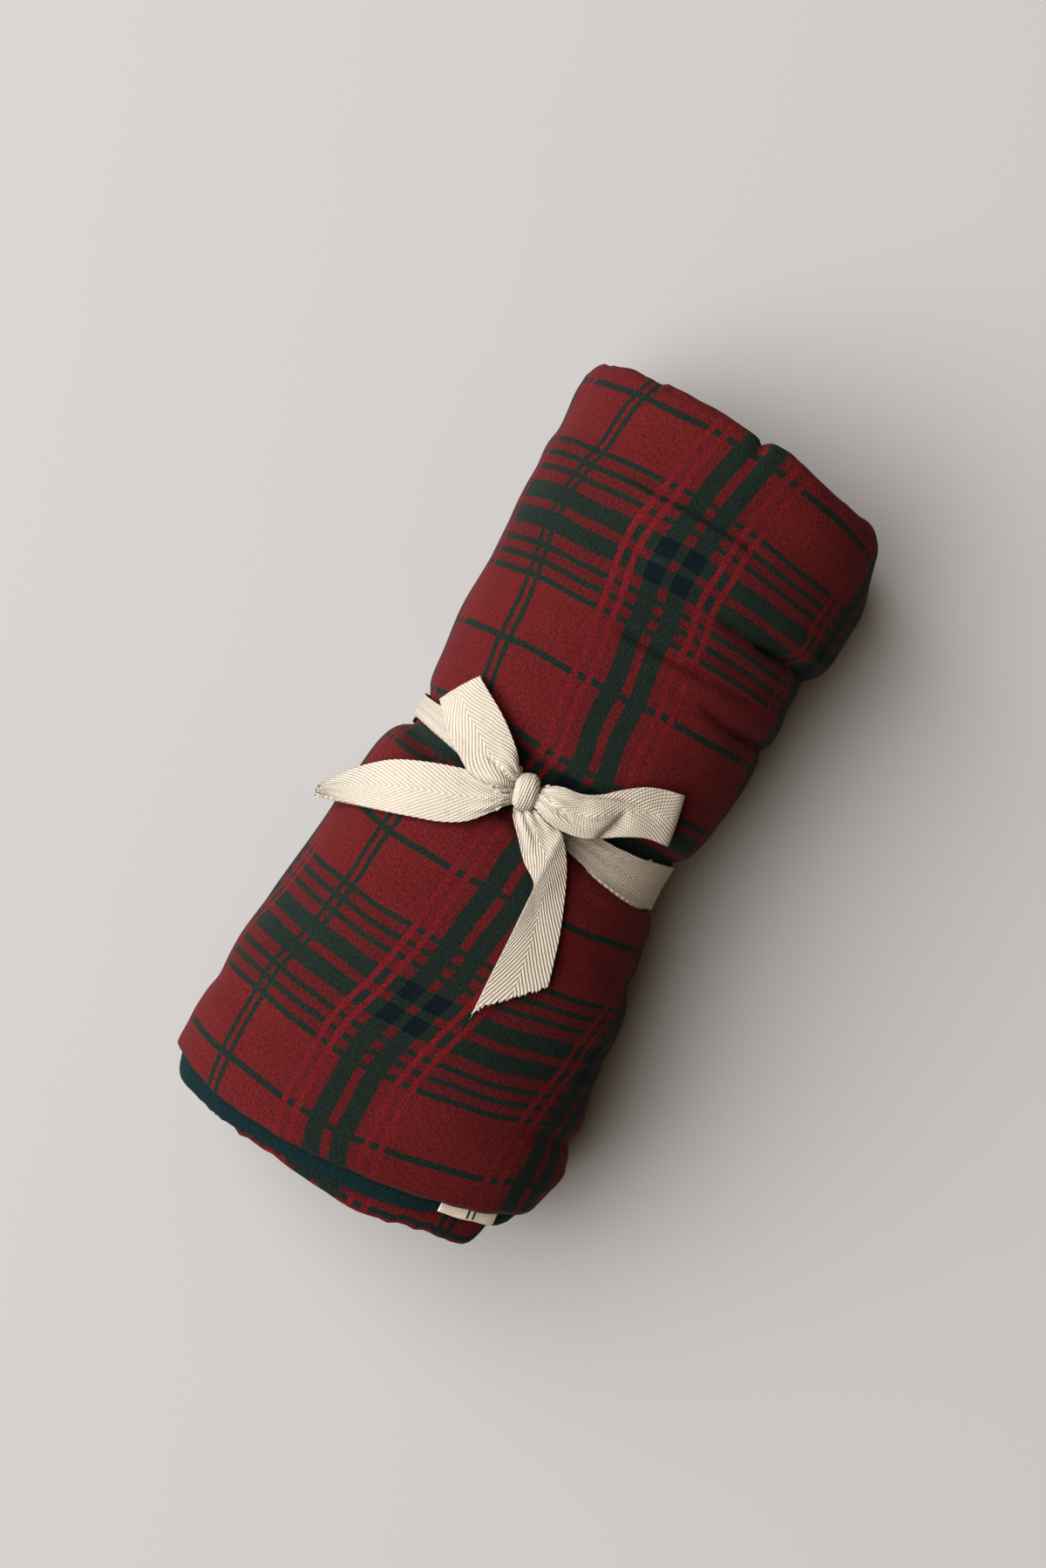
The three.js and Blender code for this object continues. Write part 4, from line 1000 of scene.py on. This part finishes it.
# Evenly many points on a smooth curve through the rows
def curveThrough(rows, count):
    lengths = np.concatenate([[0], np.cumsum(np.sqrt(np.linalg.norm(np.diff(rows, axis=0), axis=1)))])
    at = np.interp(np.linspace(0, len(rows) - 1, count), np.arange(len(rows)), lengths)
    padded = np.vstack([2 * rows[0] - rows[1], rows, 2 * rows[-1] - rows[-2]])
    knots = np.concatenate([[2 * lengths[0] - lengths[1]], lengths, [2 * lengths[-1] - lengths[-2]]])
    spot = np.clip(np.searchsorted(lengths, at, side="right") - 1, 0, len(rows) - 2)
    p0, p1, p2, p3 = (padded[spot + k] for k in range(4))
    t0, t1, t2, t3 = (knots[spot + k][:, None] for k in range(4))
    t = at[:, None]
    a1 = (t1 - t) / (t1 - t0) * p0 + (t - t0) / (t1 - t0) * p1
    a2 = (t2 - t) / (t2 - t1) * p1 + (t - t1) / (t2 - t1) * p2
    a3 = (t3 - t) / (t3 - t2) * p2 + (t - t2) / (t3 - t2) * p3
    b1 = (t2 - t) / (t2 - t0) * a1 + (t - t0) / (t2 - t0) * a2
    b2 = (t3 - t) / (t3 - t1) * a2 + (t - t1) / (t3 - t1) * a3
    return (t2 - t) / (t2 - t1) * b1 + (t - t1) / (t2 - t1) * b2


def dentDepth(dents, x, y):
    depth = np.zeros(np.broadcast(x, y).shape)
    for *line, deep, widthLeft, widthRight in dents:
        length, ahead, aside = besideLine(*line, x, y)
        width = np.where(aside < 0, widthLeft, widthRight)
        inside = smoothStep(-3.5, 3.0, ahead) * smoothStep(-3.5, 3.0, length - ahead)
        depth = depth + deep * inside * np.exp(-((np.abs(aside) / width) ** 1.4))
    return depth


def makeArm(name, node, rows, dents, ribs, tuck=0.0, endCut=0.0, looseThreads=(), looped=True):
    table = np.array(rows, dtype=float)
    lefts, rights = table[:, :3].copy(), table[:, 3:].copy()
    lefts[:, 2] += restHeight(lefts[:, 0], lefts[:, 1])
    rights[:, 2] += restHeight(rights[:, 0], rights[:, 1])
    length = np.linalg.norm(np.diff((lefts + rights) / 2, axis=0), axis=1).sum()
    count = int(length / armForm["alongStep"])
    left, right = curveThrough(lefts, count), curveThrough(rights, count)
    share = np.linspace(0, 1, armForm["acrossCount"])
    grid = left[:, None] * (1 - share)[None, :, None] + right[:, None] * share[None, :, None]
    width = np.linalg.norm(right - left, axis=1)
    tight = np.clip(1 - width / tape["width"], 0, 1)[:, None]
    normals = gridNormals(grid)
    normals *= np.sign(normals[: count // 3, :, 2].mean())
    pleat = np.cos(share * armForm["pleats"] * 2 * math.pi + 0.7)[None, :] * tight * armForm["pleatDepth"]
    crown = (1 - (2 * share - 1) ** 2)[None, :] * (0.35 + 2.2 * tight)
    grid = grid + normals * (pleat + crown)[..., None]
    upper = np.linspace(0, 1, count)[:, None] < (0.52 if looped else 2)
    grid[..., 2] -= np.where(upper, dentDepth(dents, grid[..., 0], grid[..., 1]), 0)
    if endCut:
        # the cut end is ragged where the ribs stop, and the weave has begun to fray
        jag = endCut * (0.5 * np.sign(np.sin(share * 74)) + 0.5 * np.sin(share * 31 + 1))
        ahead = grid[-1] - grid[-4]
        ahead /= np.linalg.norm(ahead, axis=1, keepdims=True)
        for back, part in ((1, 1.0), (2, 0.6), (3, 0.25)):
            grid[-back] += ahead * (jag * part)[:, None]
        aside = (grid[-1, -1] - grid[-1, 0]) / np.linalg.norm(grid[-1, -1] - grid[-1, 0])
        for spot, reach, bend in looseThreads:
            column = int(spot * (armForm["acrossCount"] - 1))
            grid[-1, column] += ahead[column] * reach + aside * bend
            grid[-2, column] += ahead[column] * reach * 0.45 + aside * bend * 0.2
    along = np.concatenate(
        [[0], np.cumsum(np.linalg.norm(np.diff(grid[:, len(share) // 2], axis=0), axis=1))]
    )
    # rows lie askew to the tape, so their ends differ in length along it
    middle = grid[:, len(share) // 2]
    heading = np.gradient(middle, axis=0)
    heading = sum(np.roll(heading, k, axis=0) for k in range(-2, 3))
    heading /= np.linalg.norm(heading, axis=1, keepdims=True)
    skew = ((right - left) * heading).sum(1)
    alongCloth = along[:, None] + (share - 0.5)[None, :] * skew[:, None]
    across = (share - 0.5)[None, :] * tape["width"] + tuck * smoothStep(0.2, 0.75, tight)
    uvs = np.stack(np.broadcast_arrays(alongCloth * ribs, across), axis=-1) * mm
    facing = 1 if gridNormals(grid)[: count // 3, :, 2].mean() > 0 else -1
    shifted = grid + (gridNormals(grid) * facing * tape["thickness"] / 2)
    piece = slabPiece(name, shifted, uvs, tape["thickness"], [cottonTape], facing=facing)
    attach(piece, "root")
    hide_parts(node)


makeArm("leftLoop", "left_loop", leftLoopRows, leftLoopDents, 1, tuck=5)
makeArm("rightLoop", "right_loop", rightLoopRows, rightLoopDents, -1)
leftThreads = [
    (0.05, 1.3, 0.3), (0.22, 0.9, -0.3), (0.38, 1.5, 0.4), (0.55, 0.8, 0.2), (0.72, 1.2, -0.4),
    (0.93, 1.0, 0.5),
]
downThreads = [
    (0.02, 2.6, -1.6), (0.07, 2.2, 1.4), (0.13, 1.2, 0.3), (0.34, 0.9, -0.3), (0.5, 0.8, 0.3),
    (0.68, 1.0, 0.2), (0.86, 0.8, -0.3),
]
makeArm(
    "leftTail", "left_tail", leftTailRows, leftTailDents, -1, endCut=0.9,
    looseThreads=leftThreads, looped=False,
)
makeArm(
    "downTail", "down_tail", downTailRows, downTailDents, -1, endCut=0.6, looseThreads=downThreads,
    looped=False,
)


# The tape's last turn round the bow, drawn tight so that it closes to a ribbed lump
def makeKnot():
    form = {"x": 0.8, "y": -0.9, "z": 92.2, "halfX": 4.5, "halfY": 6.9, "halfZ": 5.4, "turn": 25}
    around = np.linspace(-0.55 * math.pi, 1.5 * math.pi, 90)
    share = np.linspace(-1, 1, 40)
    swell = 1 - 0.42 * np.abs(share) ** 3.2
    ribs = 0.07 * np.cos(share * 10.5) * (1 - share**4)
    t, s = around[:, None], share[None, :]
    waist = 1 - 0.05 * np.exp(-(((np.cos(t) - 0.3 * s) / 0.35) ** 2))
    y = form["halfY"] * np.cos(t) * swell * waist + ribs * np.cos(t)
    z = form["halfZ"] * np.sin(t) * swell + ribs * np.sin(t) + 0.5 * s * np.cos(t)
    x = form["halfX"] * s * np.ones_like(t) + 0.5 * np.cos(t)
    angle = math.radians(form["turn"])
    grid = np.stack(
        [
            form["x"] + x * math.cos(angle) - y * math.sin(angle),
            form["y"] + x * math.sin(angle) + y * math.cos(angle),
            form["z"] + z,
        ],
        axis=-1,
    )
    along = around * 6.2 * 0.75
    across = share * 5.5 + 9
    uvs = np.stack(np.broadcast_arrays(along[:, None], across[None, :]), axis=-1) * mm
    centre = np.array([form["x"], form["y"], form["z"]])
    facing = 1 if (gridNormals(grid) * (grid - centre)).sum(-1).mean() > 0 else -1
    piece = slabPiece("knotWrap", grid, uvs, tape["thickness"], [cottonTape], facing=facing)
    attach(piece, "root")
    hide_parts("tie_knot")


makeKnot()


# The tape round the waist. It runs straight across the step of the loose edge
def makeBand():
    form = {"gap": 0.45, "bridgeFrom": 0.84, "around": 320, "acrossCount": 48}
    # place across the roll, middle of the tape along it, width of the tape there
    gatherRows = [
        (-52, 8.9, 9.2), (-49.5, 8.8, 9.4), (-43, 8.2, 11.0), (-38.7, 7.4, 11.6), (-33.8, 6.4, 11.6),
        (-27.6, 4.7, 11),
        (-21, 1.6, 9.6), (-12, -1.2, 8), (-4, -2.5, 7), (4, -3.5, 7), (10, -5.4, 7.4), (23, -7.6, 9.6),
        (30, -8.3, 11.6),
        (40, -9.3, 14), (48, -9.5, 15.8), (57, -8.8, 17.7), (63, -7.6, 18.2),
    ]
    gather = np.array(gatherRows, dtype=float)
    turns = np.linspace(0, 1, form["around"] + 1)[:-1]
    shares = np.linspace(-0.5, 0.5, form["acrossCount"])
    bridge = np.clip((turns - form["bridgeFrom"]) / (1 - form["bridgeFrom"]), 0, 1)
    nominal = rollPoint(0, turns, -bridge, outside=False)
    place = nominal[:, 0]
    upper = smoothStep(26, 58, nominal[:, 2])
    middle = throughRows(gather[:, 0], gather[:, 1], place)
    middle = middle - rollForm["bandMiddle"] - rollForm["bandSlant"] * place
    width = throughRows(gather[:, 0], gather[:, 2], place)
    middle = middle * upper
    width = width * upper + 18.4 * (1 - upper)
    # towards the right the top edge is folded over, and the fold runs out before the side
    foldAt = 0.5 - throughRows(
        np.array([0.0, 23, 31.7, 41, 46.7, 53]), np.array([0.5, 0.42, 0.29, 0.2, 0.14, 0.0]), place,
    )
    rows, folded = [], []
    for share in shares:
        along = middle + share * width
        base = np.concatenate(
            [rollPoint(a, t, -b, outside=False)[None] for a, t, b in zip(along, turns, bridge)]
        )
        run = np.roll(base, -1, 0) - np.roll(base, 1, 0)
        out = np.stack([run[:, 2], np.zeros(len(run)), -run[:, 0]], axis=-1)
        out /= np.linalg.norm(out, axis=1, keepdims=True)
        over = smoothStep(foldAt - 0.012, foldAt + 0.03, share) * (place > 6) * (place < 53) * (upper > 0.9)
        tight = np.clip(1 - width / tape["width"], 0, 1)
        pleat = 0.9 * tight * np.cos(share * 19 + place / 21)
        lift = form["gap"] + tape["thickness"] + 1.3 * over + np.maximum(0.6 * pleat, -0.3) + 0.3 * tight
        rows.append(base + out * lift[:, None])
        folded.append(over)
    grid = np.array(rows)
    grid = np.concatenate([grid, grid[:, :1]], axis=1)
    folded = np.array(folded)
    along = np.concatenate([[0], np.cumsum(np.linalg.norm(np.diff(grid[24], axis=0), axis=1))])
    across = shares[:, None] * tape["width"] * np.ones_like(folded)
    across = np.where(folded > 0.5, 2 * foldAt * tape["width"] - across, across)
    across = np.concatenate([across, across[:, :1]], axis=1)
    uvs = np.stack(np.broadcast_arrays(along[None, :], across), axis=-1) * mm
    piece = slabPiece("tieBand", grid, uvs, tape["thickness"], [cottonTape], facing=1)
    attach(piece, "root")
    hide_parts("tie_band")


makeBand()
print("tie ready")


# A plain woven ribbon sewn under the hem. Its print is left as two bare bars
def makeLabel():
    form = {
        "from": 0.2085,  # turns from the loose edge
        "to": 0.2795,
        "reach": 3.3,  # how far it stands out beyond the hem
        "seam": 7.0,
        "thickness": 0.6,
        "level": 0.215,
        "lift": 0.3,
        "lean": (0.9, -0.5),  # its free end isn't square
    }
    turns = np.linspace(form["from"], form["to"], 60)
    places = np.linspace(form["seam"], -form["reach"], 30)
    wall = rollPoint(sectionTable[0, 0], turns, form["level"])
    outside = rollPoint(sectionTable[0, 0], turns, 0.0)
    out = outside - wall
    out[:, 1] = 0
    out /= np.linalg.norm(out, axis=1, keepdims=True)
    rows = []
    for place in places:
        free = smoothStep(0.5, -2, place)
        point = wall + out * (free * (form["lift"] + 0.12 * np.sin(turns * 210)))[:, None]
        lean = np.linspace(*form["lean"], len(turns)) * free
        point[:, 1] = openLine(wall[:, 0]) + place - lean + 0.15 * np.sin(turns * 160 + 1)
        rows.append(point)
    grid = np.array(rows)
    steps = np.linalg.norm(np.diff(grid[0], axis=0), axis=1)
    along = np.concatenate([[0], np.cumsum(steps)])
    uvs = np.stack(np.broadcast_arrays(along[None, :], places[:, None]), axis=-1) * mm
    facing = 1 if gridNormals(grid)[..., 2].mean() > 0 else -1
    piece = slabPiece("wovenLabel", grid, uvs, form["thickness"], [labelRibbon], facing=facing)
    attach(piece, "root")
    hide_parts("woven_label")


makeLabel()
print("label ready")

# Camera straight above, turned so that the roll lies across the frame as in the photograph
cameraPlace = {"x": -1.58, "y": 0.98, "z": 871, "turn": 29.3, "lens": 50}
cameraData = bpy.data.cameras.new("camera")
cameraData.lens = cameraPlace["lens"]
cameraData.sensor_width = 36
camera = bpy.data.objects.new("camera", cameraData)
camera.location = (
    (cameraPlace["x"] + shiftX) * mm, (cameraPlace["y"] + shiftY) * mm, cameraPlace["z"] * mm,
)
camera.rotation_euler = (0, 0, math.radians(cameraPlace["turn"]))
bpy.context.collection.objects.link(camera)
bpy.context.scene.camera = camera

# A pale floor, and one very large window on the left that reaches nearly overhead,
# with a weak warm room round it
floorMesh = bpy.data.meshes.new("floor")
floorMesh.from_pydata([(-4, -4, 0), (4, -4, 0), (4, 4, 0), (-4, 4, 0)], [], [(0, 1, 2, 3)])
floor = bpy.data.objects.new("floor", floorMesh)
floor.location.z = -0.0003
bpy.context.collection.objects.link(floor)
floorMaterial, floorTree, floorOutput = newMaterial("paleFloor")
floorShader = add(floorTree, "BsdfPrincipled", None, Base_Color=rgb("#b8b9ba"), Roughness=0.8)
floorTree.links.new(floorShader.outputs[0], floorOutput.inputs[0])
floorMesh.materials.append(floorMaterial)

# the place is in the picture's directions, in metres
window = {"right": -3.2, "up": 0.87, "height": 3.75, "size": 8.4, "power": 500, "colour": "#fffdfc"}
room = {"colour": "#ebcb9a", "strength": 0.13}
turn = math.radians(cameraPlace["turn"])
pictureRight = Vector((math.cos(turn), math.sin(turn), 0))
pictureUp = Vector((-math.sin(turn), math.cos(turn), 0))
lightData = bpy.data.lights.new("window", "AREA")
lightData.shape = "DISK"
lightData.size = window["size"]
lightData.energy = window["power"]
lightData.color = rgb(window["colour"])[:3]
light = bpy.data.objects.new("window", lightData)
light.location = pictureRight * window["right"] + pictureUp * window["up"]
light.location.z = window["height"]
light.rotation_mode = "QUATERNION"
light.rotation_quaternion = (-light.location).to_track_quat("-Z", "Y")
bpy.context.collection.objects.link(light)

world = bpy.data.worlds.new("room")
world.use_nodes = True
background = world.node_tree.nodes["Background"]
background.inputs[0].default_value = rgb(room["colour"])
background.inputs[1].default_value = room["strength"]
bpy.context.scene.world = world
bpy.context.scene.view_settings.view_transform = "Standard"
bpy.context.scene.view_settings.look = "High Contrast"
print("stage ready")
